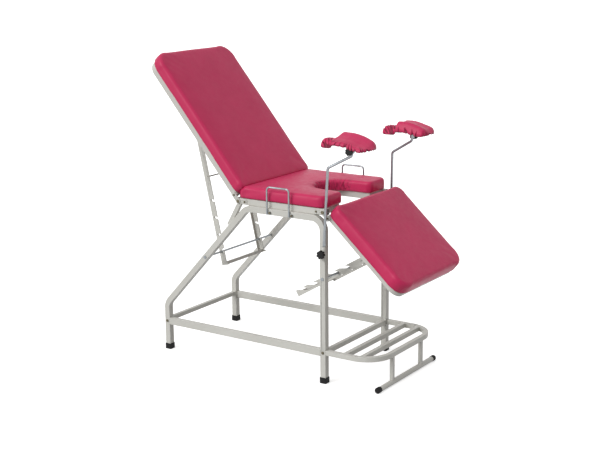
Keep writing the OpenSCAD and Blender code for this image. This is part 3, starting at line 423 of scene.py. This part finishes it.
def swell(mesh, voxel, pinned_below, crown, bulge):
    """Foam under its cover: the cloth solver blows the evenly remeshed form up with its base pinned to the
    board, and the shape it takes is scaled to the crown and the bulge that are seen."""
    piece = bpy.data.objects.new("swelling", mesh)
    bpy.context.scene.collection.objects.link(piece)
    remesh = piece.modifiers.new("even mesh", "REMESH")
    remesh.mode = "VOXEL"
    remesh.voxel_size = voxel
    mesh = baked(piece)
    rest = points_of(mesh)
    piece = bpy.data.objects.new("swelling", mesh)
    bpy.context.scene.collection.objects.link(piece)
    pins = piece.vertex_groups.new(name="pins")
    for i in np.nonzero(rest[:, 2] < pinned_below)[0]:
        pins.add([int(i)], 1.0, "REPLACE")
    cloth = piece.modifiers.new("cover", "CLOTH")
    cloth.settings.use_pressure = True
    cloth.settings.uniform_pressure_force = PRESSURE
    cloth.settings.quality = 4
    cloth.settings.mass = 0.4
    cloth.settings.tension_stiffness = cloth.settings.compression_stiffness = 25
    cloth.settings.bending_stiffness = 4
    cloth.settings.effector_weights.gravity = 0
    cloth.settings.vertex_group_mass = "pins"
    cloth.collision_settings.use_collision = False
    for number in range(1, SETTLED + 1):
        bpy.context.scene.frame_set(number)
    move = points_of(piece.evaluated_get(bpy.context.evaluated_depsgraph_get()).to_mesh()) - rest
    bpy.data.objects.remove(piece)
    bpy.context.scene.frame_set(1)
    # the few points that move most of all are left out of the measure of both swells
    top = rest[:, 2] > rest[:, 2].max() - 1 * MM
    highest = max(np.percentile(move[top, 2], 97), 1e-6)
    move[:, 2] = np.clip(move[:, 2] * crown / highest, -0.1 * crown, 1.05 * crown)
    out = np.linalg.norm(move[:, :2], axis=1)
    factor = bulge / max(np.percentile(out[~top], 95), 1e-6)
    move[:, :2] *= (factor / (1 + np.maximum(out * factor / bulge - 1, 0)))[:, None]
    set_points(mesh, rest + move)
    return mesh


def eased(low, high, value):
    """0 at low and 1 at high, with a soft start and end; low may be the greater one."""
    t = np.clip((value - low) / (high - low), 0, 1)
    return t * t * (3 - 2 * t)


def wandering(points, size, seed):
    """Smooth random values of about -1 to 1, with lumps size across."""
    shift = Vector((seed * 7.13, seed * 3.71, seed * 1.93))
    return np.array([noise.noise(Vector(p) / size + shift) for p in points])


def smooth_mesh(mesh, rounds):
    """The mesh relaxed a few times."""
    piece = bpy.data.objects.new("smoothing", mesh)
    bpy.context.scene.collection.objects.link(piece)
    relax = piece.modifiers.new("relax", "SMOOTH")
    relax.factor = 0.5
    relax.iterations = rounds
    return baked(piece)


def subdivided(mesh):
    """The mesh with each face parted once into four, and rounded."""
    piece = bpy.data.objects.new("dividing", mesh)
    bpy.context.scene.collection.objects.link(piece)
    finer = piece.modifiers.new("finer", "SUBSURF")
    finer.levels = finer.render_levels = 1
    return baked(piece)


def keep_painted_shade(mesh, values):
    """How deep in a crease each point lies, from 0 to 1, kept for the painted shade on the vinyl."""
    layer = mesh.attributes.new("painted_shade", "FLOAT", "POINT")
    layer.data.foreach_set("value", np.clip(values, 0, 1).astype(np.float32))


# Cushions

HALF_W = 262.5 * MM                               # half the width of the hem's outline
UNDERSIDE = 1.4 * MM                              # the cover's lowest level, over the hem
PINNED = 8 * MM                                   # the cover is held to its board below this level
CROWN, BULGE = 6 * MM, 3.4 * MM                   # how far the foam swells up and out
# the cover's uneven lie: how wide its lumps are, and how high on the sides and on the top
LUMP, SIDE_LIE, TOP_LIE = 0.11, 0.9 * MM, 0.8 * MM
# the side wall lies this near the cover's edge and between these shares of the height
WALL_IN, WALL_LOW, WALL_HIGH = 16 * MM, 0.1, 0.95
PATH_STEP, PLEAT_STEP = 6.0, 9.0                  # in millimetres along the outline
# corners tighter than the first radius have pleats, this far round them and this deep
PLEATED, PLEAT_REACH, PLEAT_IN = 60 * MM, 24 * MM, 1.6 * MM
# the seat's rear wall is pressed out this far, over this length of its end
REAR_OUT, REAR_REACH = 16 * MM, 40 * MM
CUSHIONS = []


def draw_sides_in(path, x0, x1, amount):
    """Pulls all four sides in a little between their corners, as the cover does."""
    u = np.clip((path[:, 0] - x0) / (x1 - x0), 0, 1)
    v = np.clip((path[:, 1] + HALF_W) / (2 * HALF_W), 0, 1)
    out = path.copy()
    edge_y, edge_x = np.abs(path[:, 1]) > HALF_W * 0.9, (u < 0.04) | (u > 0.96)
    out[:, 1] -= np.where(edge_y, np.sign(path[:, 1]) * amount * np.sin(math.pi * u), 0)
    out[:, 0] += np.where(edge_x, np.where(u < 0.5, 1, -1) * amount * np.sin(math.pi * v), 0)
    return out


def cushion(name, place, body, corners, node, board_node, thick, proud, cut=None, voxel=0.006, seed=1):
    """One upholstered section: foam on a board under a stretched vinyl cover, closed underneath by a hem.
    Corners are the hem's outline, and proud is how far the foam stands out past it."""
    path = rounded_path(corners, PATH_STEP * MM)
    x0, x1 = path[:, 0].min(), path[:, 0].max()
    path = draw_sides_in(path, x0, x1, 1 * MM)
    edge = path - inward(path) * proud
    # the cover's side rolls over by low into the underside and by radius into the top
    low, radius = 5 * MM, 14 * MM
    under, over = np.radians([0, 30, 60, 90]), np.radians([0, 18, 36, 54, 72, 90])
    levels = [(low * (1 - math.sin(a)), UNDERSIDE + low * (1 - math.cos(a))) for a in under]
    levels += [(radius * (1 - math.cos(a)), thick - radius + radius * math.sin(a)) for a in over]
    mesh = swell(ring_mesh(edge, levels), voxel, PINNED, CROWN, BULGE)
    mesh = subdivided(smooth_mesh(mesh, 2))
    points = points_of(mesh)
    inset, nearest = distance_in(points[:, :2], edge)
    height = points[:, 2] / thick
    lie = wandering(points, LUMP, seed)
    normals_out = -inward(edge)[nearest]
    wall = (inset < WALL_IN) & (height > WALL_LOW) & (height < WALL_HIGH)
    points[:, :2] += normals_out * (np.where(wall, SIDE_LIE * lie, 0))[:, None]
    points[:, 2] += np.where(height > 0.85, TOP_LIE * lie, 0)
    # painted shade: the colour is darker deep in the corner pleats and the cut-out's gathers
    painted_shade = np.zeros(len(points))
    # pleats where the cover is folded round the corners, strongest under the edge
    for corner in corners:
        if corner[2] < PLEATED:
            centre = np.array(corner[:2])
            near = np.exp(-((np.linalg.norm(edge[nearest] - centre, axis=1) / PLEAT_REACH) ** 2))
            run = nearest * PATH_STEP / PLEAT_STEP
            fold = np.abs(np.sin(run * math.pi * 0.5)) ** 6
            depth = near * fold * eased(0.75, 0.1, height) * wall
            points[:, :2] -= normals_out * (PLEAT_IN * depth)[:, None]
            # the pleat's depth is also painted in as shade
            painted_shade = np.maximum(painted_shade, depth * 0.7)
    if cut:
        points, painted_shade = gather_cut_out(points, painted_shade, cut, height, seed)
        # the seat's rear wall is pressed out under the backrest's lower end
        points[:, 0] -= REAR_OUT * eased(0.95, 0.5, height) * eased(x0 + REAR_REACH, x0, points[:, 0])
    set_points(mesh, points)
    keep_painted_shade(mesh, painted_shade)
    mesh.transform(place)
    piece = shown(name, mesh, VINYL, body)
    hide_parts(node)
    CUSHIONS.append((name, place, body, corners))
    make_board(name + "_board", place, body, path, board_node)
    make_hem(name + "_hem", place, body, path, seed)


def gather_cut_out(points, painted_shade, cut, height, seed):
    """The cover is gathered round the cut-out's curved end: pleats down its wall that run a little way on to
    the top."""
    # pleats are full up to the first distance from the cut-out and gone at the second
    full_to, gone_at, crease_size = 2 * MM, 38 * MM, 10 * MM
    wall_out, top_down = 3.4 * MM, 2.0 * MM
    centre, radius = np.array(cut[:2]), cut[2]
    from_centre = points[:, :2] - centre
    reach = np.linalg.norm(from_centre, axis=1)
    angle = np.arctan2(from_centre[:, 1], -from_centre[:, 0])
    round_end = eased(1.75, 1.15, np.abs(angle))
    near = eased(gone_at, full_to, reach - radius) * round_end
    place = np.column_stack([angle * radius, 0 * angle, points[:, 2] * 0.25])
    crease = np.clip(1 - np.abs(wandering(place, crease_size, seed + 3)) / 0.15, 0, 1) ** 0.8
    down = np.where(height > 0.8, near * 0.8, near)
    depth = crease * down * (0.55 + 0.45 * np.sin(angle * 5.3 + 1.1) ** 2)
    outward = from_centre / np.maximum(reach, 1e-6)[:, None]
    points = points.copy()
    points[:, :2] += outward * (wall_out * depth * (height < 0.99))[:, None]
    points[:, 2] -= np.where(height > 0.75, top_down * depth, 0)
    # the pleats' depth is also painted in as shade on the vinyl
    return points, np.maximum(painted_shade, depth * 0.9)


def make_board(name, place, body, path, node):
    """The plywood board, seen from below inside the hem."""
    levels = [(9.6 * MM, 1.0 * MM), (9 * MM, 1.5 * MM), (9 * MM, 10.6 * MM), (10 * MM, 11 * MM)]
    mesh = ring_mesh(path, levels)
    mesh.transform(place)
    board = shown(name, mesh, PLY, body)
    board.data.polygons.foreach_set("use_smooth", [False] * len(board.data.polygons))
    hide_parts(node)


HEM_EDGE, HEM_W = 2.0 * MM, 34 * MM               # the hem runs in from the one to the other
# levels of its lower face, its rims and its upper face, and how far its inner rim wavers and rucks up
HEM_LOW, HEM_END, HEM_TOP = 0.25 * MM, 0.6 * MM, 1.05 * MM
WAVER, RUCK = 1.2 * MM, 0.25 * MM


def make_hem(name, place, body, path, seed):
    """The cover's turned-under edge, stapled to the board's underside."""
    normals, count = inward(path), len(path)
    steps = [0.0, 0.03, 0.25, 0.5, 0.75, 0.97, 1.0]
    rows = []
    for k, share in enumerate(steps):
        ring = path + normals * (HEM_EDGE + share * (HEM_W - HEM_EDGE))
        ring += normals * (WAVER * share * np.sin(np.arange(count) * 0.37 + seed))[:, None]
        lift = RUCK * share * np.abs(np.sin(np.arange(count) * 0.9))
        rows.append(np.column_stack([ring, np.full(count, HEM_LOW if 0 < k < 6 else HEM_END) + lift]))
    rows += [np.column_stack([row[:, :2], np.full(count, HEM_TOP)]) for row in (rows[-1], rows[0])]
    total = len(rows)
    faces = [(j * count + (i + 1) % count, j * count + i,
              ((j + 1) % total) * count + i, ((j + 1) % total) * count + (i + 1) % count)
             for j in range(total) for i in range(count)]
    mesh = mesh_from(np.concatenate(rows), faces)
    mesh.transform(place)
    shown(name, mesh, VINYL, body)


# corner radii of the sections' square and round ends, and of the cut-out's end and mouth
SQUARE, LEG_SQUARE, SEAT_R, BACK_R, LEG_R = 14 * MM, 22 * MM, 34 * MM, 58 * MM, 52 * MM
CUT_R, MOUTH_R = 124 * MM, 18 * MM
CUT_X, CUT_TURN = -98 * MM, CUT_R * 0.995
SEAT_X0, SEAT_X1 = -450 * MM, -15 * MM
cushion("seat_cushion_cover", LEVEL, "frame", [
    (SEAT_X0, -HALF_W, SQUARE), (SEAT_X1, -HALF_W, SEAT_R), (SEAT_X1, -CUT_R, MOUTH_R),
    (CUT_X - CUT_R, -CUT_R, CUT_TURN), (CUT_X - CUT_R, CUT_R, CUT_TURN),
    (SEAT_X1, CUT_R, MOUTH_R), (SEAT_X1, HALF_W, SEAT_R), (SEAT_X0, HALF_W, SQUARE)],
    "seat_cushion", "seat_board", thick=55 * MM, proud=9 * MM, cut=(CUT_X, 0, CUT_R), seed=1)
LIFT = Matrix.Translation((0, 0, 14 * MM))        # from a hinge line up to the board
BACK_X0, BACK_X1 = -779 * MM, -43 * MM
cushion("backrest_cushion_cover", BACK @ LIFT, "backrest", [
    (BACK_X0, -HALF_W, BACK_R), (BACK_X1, -HALF_W, SQUARE), (BACK_X1, HALF_W, SQUARE),
    (BACK_X0, HALF_W, BACK_R)],
    "back_cushion", "back_board", thick=54 * MM, proud=17 * MM, voxel=0.0068, seed=2)
LEG_X0, LEG_X1 = 38 * MM, 479 * MM
cushion("leg_cushion_cover", LEG @ LIFT, "leg_section", [
    (LEG_X0, -HALF_W, LEG_SQUARE), (LEG_X1, -HALF_W, LEG_R), (LEG_X1, HALF_W, LEG_R),
    (LEG_X0, HALF_W, LEG_SQUARE)],
    "leg_cushion", "leg_board", thick=60 * MM, proud=18 * MM, seed=3)

# Leg rest pads

REST_L, REST_NOSE = 247 * MM, 147 * MM            # a pad's length, and its part on the nose's side of the rod


def rest_pad(name, place, side, nose_end, lean, seed):
    """A moulded trough under gathered vinyl: a low deeply wrinkled nose and a step up to the hollowed body,
    whose sides lean in from a ruffled lower edge. Side is 1 where the outer side is at -Y and -1 where it is
    at +Y, nose_end is where the step stands in millimetres, and lean is how far the hollow falls away to its
    outer side."""
    rings, sides = 190, 168
    x = REST_L * (1 - np.cos(math.pi * np.arange(1, rings) / rings)) / 2 - REST_NOSE
    mm = x / MM
    # the plan is round at both ends, the more so at the calf's end
    end = np.sqrt(1 - np.abs(2 * (x + REST_NOSE) / REST_L - 1) ** 14) * np.sqrt(1 - eased(70, 102, mm) ** 2.2)
    body = eased(nose_end - 14, nose_end + 14, mm)
    # the nose's half width, what the body adds to it, and the nose's crest, in millimetres
    nose_half, body_more, nose_crest = 38, 22, 22
    half = (nose_half + body_more * body) * MM * end
    # the body's rise over the nose's crest, and the lower edge's height, in millimetres along the pad
    crest_at = [nose_end - 12, nose_end + 18, -20, 5, 30, 55, 78, 96]
    low_at = [-147, -128, nose_end - 14, nose_end + 6, -20, 16, 46, 76, 100]
    crest = (nose_crest + np.interp(mm, crest_at, [25, 26, 27, 25, 20, 13, 4, -4]) * body) * MM
    low = np.interp(mm, low_at, [-13, -20, -18, 6, 7, 1, -6, -6, 0]) * MM
    crest = low + (crest - low) * np.maximum(end, 0.02)
    a = 2 * math.pi * np.arange(sides) / sides
    u = np.abs(np.cos(a)) ** 0.62
    # v runs from the outer edge at -1 to the inner edge at 1; the calf lies in a hollow that leans outward
    v = np.sign(np.cos(a)) * u
    across = [-1, -0.985, -0.94, -0.85, -0.6, -0.3, 0.1, 0.4, 0.55, 0.7, 0.85, 0.94, 0.985, 1]
    leaning = np.interp(v, across, [0, 0.14, 0.24, 0.33, 0.43, 0.53, 0.72, 0.93, 1, 0.98, 0.82, 0.58, 0.3, 0])
    level = np.interp(v, across, [0, 0.3, 0.55, 0.8, 0.92, 0.86, 0.84, 0.93, 1, 0.98, 0.82, 0.58, 0.3, 0])
    hollow = lean * leaning + (1 - lean) * level
    roll = (1 - u ** 2.4) ** 0.5
    y = half[:, None] * v[None, :]
    form = hollow[None, :] * body[:, None] + roll[None, :] * (1 - body[:, None])
    upper = low[:, None] + (crest - low)[:, None] * form
    under = low[:, None] * eased(0.45, 0.95, u)[None, :] + 0.4 * MM
    z = np.where((np.sin(a) >= 0)[None, :], upper, under)
    # the way round the rim is that of an ellipse with these half axes, measured on a circle of this radius
    half_y, half_x, circle = 60 * MM, 124 * MM, 96
    around = np.arctan2(y / half_y, x[:, None] / half_x + 0 * y) * circle * MM
    up = (z - low[:, None]) / MM
    # creases run up from the lower edge, where the cover is drawn together, and all over the nose
    nose = (1 - eased(nose_end - 16, nose_end + 6, mm))[:, None] + 0 * y
    lookup = np.column_stack([around.ravel(), (up * 0.22 * MM).ravel(), np.zeros(y.size)])
    folds = np.column_stack([
        (x[:, None] + 0.7 * z - 0.5 * y).ravel(), (0.35 * y + 0.3 * z).ravel(), z.ravel() * 0.2])
    rim_size, nose_size = 15 * MM, 13 * MM
    sharp = np.clip(1 - np.abs(wandering(lookup, rim_size, seed)) / 0.13, 0, 1).reshape(y.shape)
    deep = np.clip(1 - np.abs(wandering(folds, nose_size, seed + 9)) / 0.2, 0, 1).reshape(y.shape)
    rim = eased(0.6, 0.9, u)[None, :] + 0 * y
    fade = eased(25, 4, up) * rim * (1 - nose)
    fold = np.maximum(sharp * fade, deep * nose * (up > 0.5))
    puff = (1 - sharp) * fade
    bearing = around / (circle * MM)
    outward = np.stack([np.cos(bearing) * 0.7, np.sin(bearing), 0 * y], -1)
    points = np.stack([x[:, None] + 0 * y, y, z], -1)
    # how far the cover puffs out and down between the creases, and how far these go in and down
    puff_out, puff_down, fold_in, nose_more, nose_down = 3.2 * MM, 4.5 * MM, 4.5, 1.5, 6.0
    points += outward * (puff_out * puff - MM * fold * (fold_in + nose_more * nose))[..., None]
    points[..., 2] += MM * -nose_down * fold * nose * eased(4, 14, up) - puff_down * puff * eased(12, 0, up)
    lump, top_lie = 0.045, 0.9 * MM
    lie = wandering(points.reshape(-1, 3), lump, seed + 5).reshape(up.shape)
    points[..., 2] += top_lie * lie * (up > 10)
    points[..., 1] *= side
    faces = faces_between(rings - 1, sides)
    flat = list(points.reshape(-1, 3)) + [points[0].mean(0), points[-1].mean(0)]
    faces += [(len(flat) - 2, (i + 1) % sides, i) for i in range(sides)]
    tail = (rings - 2) * sides
    faces += [(len(flat) - 1, tail + i, tail + (i + 1) % sides) for i in range(sides)]
    mesh = mesh_from(flat, faces)
    shaping = bmesh.new()
    shaping.from_mesh(mesh)
    bmesh.ops.recalc_face_normals(shaping, faces=shaping.faces)
    shaping.to_mesh(mesh)
    shaping.free()
    mesh = smooth_mesh(mesh, 1)
    # painted shade: darker deep in the creases and along the lower edge, where the cover turns under; 0.3 at the
    # two end points
    painted_shade = (fold ** 0.5 + 0.8 * np.maximum(fade, nose) * eased(7, -1, up)).ravel()
    keep_painted_shade(mesh, np.append(painted_shade, [0.3, 0.3]))
    mesh.transform(place)
    piece = shown(name + "_rest_pad_cover", mesh, VINYL, name + "_rest")
    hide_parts(name + "_rest_pad")


rest_pad("near", RESTS["near"], side=1, nose_end=-78, lean=1.0, seed=11)
rest_pad("far", RESTS["far"], side=-1, nose_end=-62, lean=0.0, seed=23)

# Repeated details


def repeat_tree():
    """Stands a copy of a piece on every point: Z along the point's aim, X along its run, each turned and
    sized a little."""
    tree = bpy.data.node_groups.new("repeat a piece", "GeometryNodeTree")
    kinds = {"Points": "Geometry", "Piece": "Object", "Finish": "Material", "Turn": "Float",
             "Least size": "Float", "Seed": "Int"}
    for name, kind in kinds.items():
        tree.interface.new_socket(name, in_out="INPUT", socket_type="NodeSocket" + kind)
    tree.interface.new_socket("Copies", in_out="OUTPUT", socket_type="NodeSocketGeometry")
    entry = add(tree, "NodeGroupInput").outputs
    aim = add(tree, "GeometryNodeInputNamedAttribute", {"Name": "aim"}, data_type="FLOAT_VECTOR").outputs[0]
    run = add(tree, "GeometryNodeInputNamedAttribute", {"Name": "run"}, data_type="FLOAT_VECTOR").outputs[0]
    upright = add(tree, "FunctionNodeAlignRotationToVector", {"Vector": aim}, axis="Z").outputs[0]
    faced = add(tree, "FunctionNodeAlignRotationToVector", {"Rotation": upright, "Vector": run},
                axis="X", pivot_axis="Z").outputs[0]
    least = add(tree, "ShaderNodeMath", {0: entry["Turn"], 1: -1.0}, operation="MULTIPLY").outputs[0]
    angle = add(tree, "FunctionNodeRandomValue", {LEAST: least, MOST: entry["Turn"], SEED: entry["Seed"]},
                data_type="FLOAT").outputs[DRAWN]
    twist = add(tree, "FunctionNodeAxisAngleToRotation", {"Axis": (0, 0, 1), "Angle": angle}).outputs[0]
    turned = add(tree, "FunctionNodeRotateRotation", {0: faced, 1: twist}, rotation_space="LOCAL").outputs[0]
    size = add(tree, "FunctionNodeRandomValue", {LEAST: entry["Least size"], MOST: 1.0, SEED: entry["Seed"]},
               data_type="FLOAT").outputs[DRAWN]
    source = add(tree, "GeometryNodeObjectInfo", {"Object": entry["Piece"]}).outputs["Geometry"]
    copies = add(tree, "GeometryNodeInstanceOnPoints", {
        "Points": entry["Points"], "Instance": source, "Rotation": turned, "Scale": size}).outputs[0]
    real = add(tree, "GeometryNodeRealizeInstances", {"Geometry": copies}).outputs[0]
    painted = add(tree, "GeometryNodeSetMaterial", {"Geometry": real, "Material": entry["Finish"]}).outputs[0]
    add(tree, "NodeGroupOutput", {"Copies": painted})
    return tree


REPEAT = repeat_tree()


def repeated(name, spots, shape, body, material, turn=0.0, least=1.0, seed=1):
    """One mesh of all the copies of shape on spots, each a point, an aim and a run."""
    marks = mesh_from([spot[0] for spot in spots], [])
    for column, label in ((1, "aim"), (2, "run")):
        layer = marks.attributes.new(label, "FLOAT_VECTOR", "POINT")
        layer.data.foreach_set("vector", np.array([spot[column] for spot in spots], np.float32).ravel())
    pattern = bpy.data.objects.new("pattern", shape)
    holder = bpy.data.objects.new("copies", marks)
    for piece in (pattern, holder):
        bpy.context.scene.collection.objects.link(piece)
    layout = holder.modifiers.new("copies", "NODES")
    layout.node_group = REPEAT
    values = {"Piece": pattern, "Finish": material, "Turn": turn, "Least size": least, "Seed": seed}
    for item in REPEAT.interface.items_tree:
        if item.name in values:
            layout[item.identifier] = values[item.name]
    mesh = baked(holder)
    bpy.data.objects.remove(pattern)
    shown(name, mesh, material, body)


# a head's rings, as shares of its radius; the last one stands on the face below
HEAD_RINGS = [0, 0.05, 0.1, 0.16, 0.22, 0.28, 0.36, 0.45, 0.55, 0.65, 0.74, 0.8, 0.84, 0.9, 0.96, 1.0, 1.0]


def turned_head(radius, height, dome, recess):
    """A screw's or bolt's head: domed disc with a cross recess, or a hexagon on a flange if recess is 0."""
    sides, rings = 48, np.array(HEAD_RINGS) * radius
    points = []
    for j, r in enumerate(rings):
        for i in range(sides):
            a = 2 * math.pi * (i + 0.5) / sides
            px, py = r * math.cos(a), r * math.sin(a)
            z = height + dome * (1 - (r / radius) ** 2)
            if recess:
                slot = min(abs(px), abs(py))
                inside = max(0, 1 - slot / (0.13 * radius)) ** 0.4 * (1 if r < 0.58 * radius else 0)
                z -= recess * inside
                z -= height * 0.55 * max(0, (r / radius - 0.9) / 0.1) ** 2
            else:
                flat = 0.78 * radius * math.cos(math.pi / 6) / math.cos((a % (math.pi / 3)) - math.pi / 6)
                z = height * 0.4
                if r < flat:
                    z = height + dome * (1 - 0.25 * max(0, (r / flat - 0.75) / 0.25))
            points.append((px, py, 0.0 if j == len(rings) - 1 else z))
    faces = faces_between(len(rings), sides, first=1)
    faces += [(0, sides + (i + 1) % sides, sides + i) for i in range(sides)]
    return mesh_from(points, faces)


def pebble_shape(half_x, half_y, half_z):
    """A rounded lump, as one ripple of a weld bead."""
    shape = bmesh.new()
    bmesh.ops.create_icosphere(shape, subdivisions=2, radius=1)
    for vertex in shape.verts:
        vertex.co = Vector((vertex.co.x * half_x, vertex.co.y * half_y, vertex.co.z * half_z))
    mesh = bpy.data.meshes.new("lump")
    shape.to_mesh(mesh)
    shape.free()
    return mesh


def wire_shape(length, radius):
    """A staple's crown: straight wire whose ends bend in."""
    shape, sides = bmesh.new(), 8
    rings = [(-length / 2, 2 * radius), (-length / 2, 0), (-length / 2 + radius, -radius),
             (length / 2 - radius, -radius), (length / 2, 0), (length / 2, 2 * radius)]
    turns = np.linspace(0, 2 * math.pi, sides + 1)[:-1]
    made = [[shape.verts.new((x, radius * math.cos(t), z + radius * 0.6 * math.sin(t))) for t in turns]
            for x, z in rings]
    for first, second in zip(made, made[1:]):
        for i in range(sides):
            shape.faces.new((first[i], first[(i + 1) % sides], second[(i + 1) % sides], second[i]))
    mesh = bpy.data.meshes.new("wire")
    shape.to_mesh(mesh)
    shape.free()
    return mesh


FACE_DEPTH = 0.0002                               # a head's face is what lies within this of its outer end


def heads_of(node):
    """Outer ends of a node's round heads, as spots: each loose piece's centre on its outermost face."""
    piece = frame["nodes"][node]
    shape = bmesh.new()
    shape.from_mesh(piece.data)
    shape.transform(piece.matrix_world)
    bmesh.ops.remove_doubles(shape, verts=shape.verts, dist=SAME_POINT)
    shape.verts.index_update()
    seen, spots = set(), []
    for start in shape.verts:
        if start.index in seen:
            continue
        group, reach = [], [start]
        seen.add(start.index)
        while reach:
            vertex = reach.pop()
            group.append(vertex.co)
            for edge in vertex.link_edges:
                other = edge.other_vert(vertex)
                if other.index not in seen:
                    seen.add(other.index)
                    reach.append(other)
        points = np.array([tuple(p) for p in group])
        side = 1 if points[:, 1].mean() > 0 else -1
        face = points[np.abs(points[:, 1] - (points[:, 1] * side).max() * side) < FACE_DEPTH]
        spots.append((face.mean(0), (0, side, 0), (1, 0, 0)))
    shape.free()
    return spots


SCREW = turned_head(radius=4.75 * MM, height=0.9 * MM, dome=0.5 * MM, recess=0.75 * MM)
HEX = turned_head(radius=6.3 * MM, height=0.35 * MM, dome=2.4 * MM, recess=0)
SMALL_HEX = turned_head(radius=5.3 * MM, height=0.3 * MM, dome=2.1 * MM, recess=0)
for name, node, head, seed in (("frame_bolt_heads", "rail_bolts", HEX, 4),
                               ("grip_bolt_heads", "grip_bolts", SMALL_HEX, 5)):
    repeated(name, heads_of(node), head, "frame", BOLT, turn=1.0, least=0.98, seed=seed)
for body, node, seed in (("frame", "seat_screws", 6), ("backrest", "back_screws", 7),
                         ("leg_section", "leg_screws", 8)):
    name = node + "_recessed"
    repeated(name, heads_of(node), SCREW, body, BOLT, turn=1.5, least=0.99, seed=seed)

# staples, in millimetres: the step between them and the least gap, how far in from the hem's outline they
# are, their level in the hem, and their wire's length and radius
STAPLE_STEP, STAPLE_GAP, STAPLE_IN, STAPLE_Z, STAPLE_L, STAPLE_R = 38, 26, 23, 0.34, 10, 0.35


def hem_staples(name, place, body, corners, seed):
    """Staples through the hem, about every 38 mm, each a little askew."""
    path = rounded_path(corners, STAPLE_STEP * MM)
    normals = inward(path)
    rest = place.to_3x3()
    spots = []
    for i, (point, normal) in enumerate(zip(path, normals)):
        if np.linalg.norm(point - path[i - 1]) > STAPLE_GAP * MM:
            spot = point + normal * STAPLE_IN * MM
            run = rest @ Vector((-normal[1], normal[0], 0))
            spots.append((place @ Vector((*spot, STAPLE_Z * MM)), rest @ Vector((0, 0, -1)), run))
    wire = wire_shape(STAPLE_L * MM, STAPLE_R * MM)
    repeated(name, spots, wire, body, ZINC, turn=0.3, seed=seed)


for name, place, body, corners in CUSHIONS:
    hem_staples(name + "_staples", place, body, corners, len(name))

# weld beads, in millimetres: ripples this far apart, laid this far proud of the face that the tube meets
BEAD_STEP, BEAD_PROUD = 2.1, 0.4
BEAD = pebble_shape(half_x=2.3 * MM, half_y=2.9 * MM, half_z=1.9 * MM)


def beads_round(low, high, y, side):
    """Weld ripples round a tube's end that meets a face at y."""
    corners = [(low.x, low.z), (high.x, low.z), (high.x, high.z), (low.x, high.z)]
    spots = []
    for (x0, z0), (x1, z1) in zip(corners, corners[1:] + corners[:1]):
        length = math.hypot(x1 - x0, z1 - z0)
        along = Vector(((x1 - x0) / length, 0, (z1 - z0) / length))
        out = Vector((along.z, 0, -along.x))
        for k in range(int(length / (BEAD_STEP * MM))):
            place = Vector((x0, y - side * BEAD_PROUD * MM, z0)) + along * (k + 0.5) * BEAD_STEP * MM
            spots.append((place, (out - Vector((0, side, 0))).normalized(), along))
    return spots


welds = []
for node in ("rear_cross_tube", "front_cross_tube"):
    low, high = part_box(node)
    welds += beads_round(low, high, high.y, 1) + beads_round(low, high, low.y, -1)
# a bead of ripples down each side of the leg rests' sockets, where these meet the legs, in millimetres
SEAM_X, SEAM_Y, SEAM_BEADS = 5.2, 281.2, 26
for name, side in SIDE_OF.items():
    lean = Matrix.Rotation(math.radians(LEAN_OF[name]), 3, "Y")
    for edge in (-1, 1):
        start = Vector((FRONT_X + edge * SEAM_X * MM, side * SEAM_Y * MM, SOCKET_Z * MM))
        for k in range(SEAM_BEADS):
            spot = start + lean @ Vector((0, 0, (k - SEAM_BEADS // 2) * BEAD_STEP * MM))
            # none stands past the leg's front edge
            if spot.x < FRONT_X - 1 * MM:
                welds.append((spot, Vector((edge, side * 0.8, 0)).normalized(), lean @ Vector((0, 0, 1))))
repeated("weld_beads", welds, BEAD, "frame", COAT, turn=0.25, least=0.86, seed=9)

# Floor and light


def seen_share(tree):
    """1 for what the camera sees, straight on, mirrored or through; 0 for the light that falls on things."""
    ray = add(tree, "ShaderNodeLightPath").outputs
    either = add(tree, "ShaderNodeMath", {0: ray["Is Camera Ray"], 1: ray["Is Glossy Ray"]},
                 operation="ADD").outputs[0]
    return add(tree, "ShaderNodeMath", {0: either, 1: ray["Is Transmission Ray"]},
               operation="ADD", use_clamp=True).outputs[0]


def stage():
    """A matt white floor under an even white sky, both of which light the table less than they show."""
    bpy.ops.mesh.primitive_plane_add(size=160, location=(0, 0, 0))
    floor = bpy.context.object
    floor.name = "floor"
    material, tree = new_material("matt white studio floor")
    shader = add(tree, "ShaderNodeBsdfPrincipled", {"Base Color": colour("#F4F4F4"), "Roughness": 0.9})
    plain = add(tree, "ShaderNodeEmission", {"Color": (1, 1, 1, 1), "Strength": 0.55})
    dim = add(tree, "ShaderNodeBsdfDiffuse", {"Color": colour("#A2A2A2")})
    both = add(tree, "ShaderNodeAddShader", {0: shader.outputs[0], 1: plain.outputs[0]})
    seen = add(tree, "ShaderNodeMixShader", {0: seen_share(tree), 1: dim.outputs[0], 2: both.outputs[0]})
    add(tree, "ShaderNodeOutputMaterial", {"Surface": seen.outputs[0]})
    floor.data.materials.append(material)
    floor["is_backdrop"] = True
    world = bpy.data.worlds.new("studio")
    bpy.context.scene.world = world
    world.use_nodes = True
    tree = world.node_tree
    tree.nodes.clear()
    soft = add(tree, "ShaderNodeBackground", {"Color": (1, 1, 1, 1), "Strength": 0.5})
    white = add(tree, "ShaderNodeBackground", {"Color": (1, 1, 1, 1), "Strength": 1.0})
    mix = add(tree, "ShaderNodeMixShader", {0: seen_share(tree), 1: soft.outputs[0], 2: white.outputs[0]})
    add(tree, "ShaderNodeOutputWorld", {"Surface": mix.outputs[0]})
    lamp("key", towards=(-1.0, -2.6, 1.5), strength=1.9, spread_deg=40)
    lamp("top", towards=(0.2, -0.3, 3.0), strength=0.5, spread_deg=60)


def lamp(name, towards, strength, spread_deg):
    """A broad even softbox far off in the direction given."""
    data = bpy.data.lights.new(name, "SUN")
    data.energy = strength
    data.angle = math.radians(spread_deg)
    piece = bpy.data.objects.new(name, data)
    piece.rotation_euler = Vector(towards).to_track_quat("Z", "Y").to_euler()
    bpy.context.scene.collection.objects.link(piece)


stage()
bpy.context.scene.view_settings.view_transform = "Standard"

low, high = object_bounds()
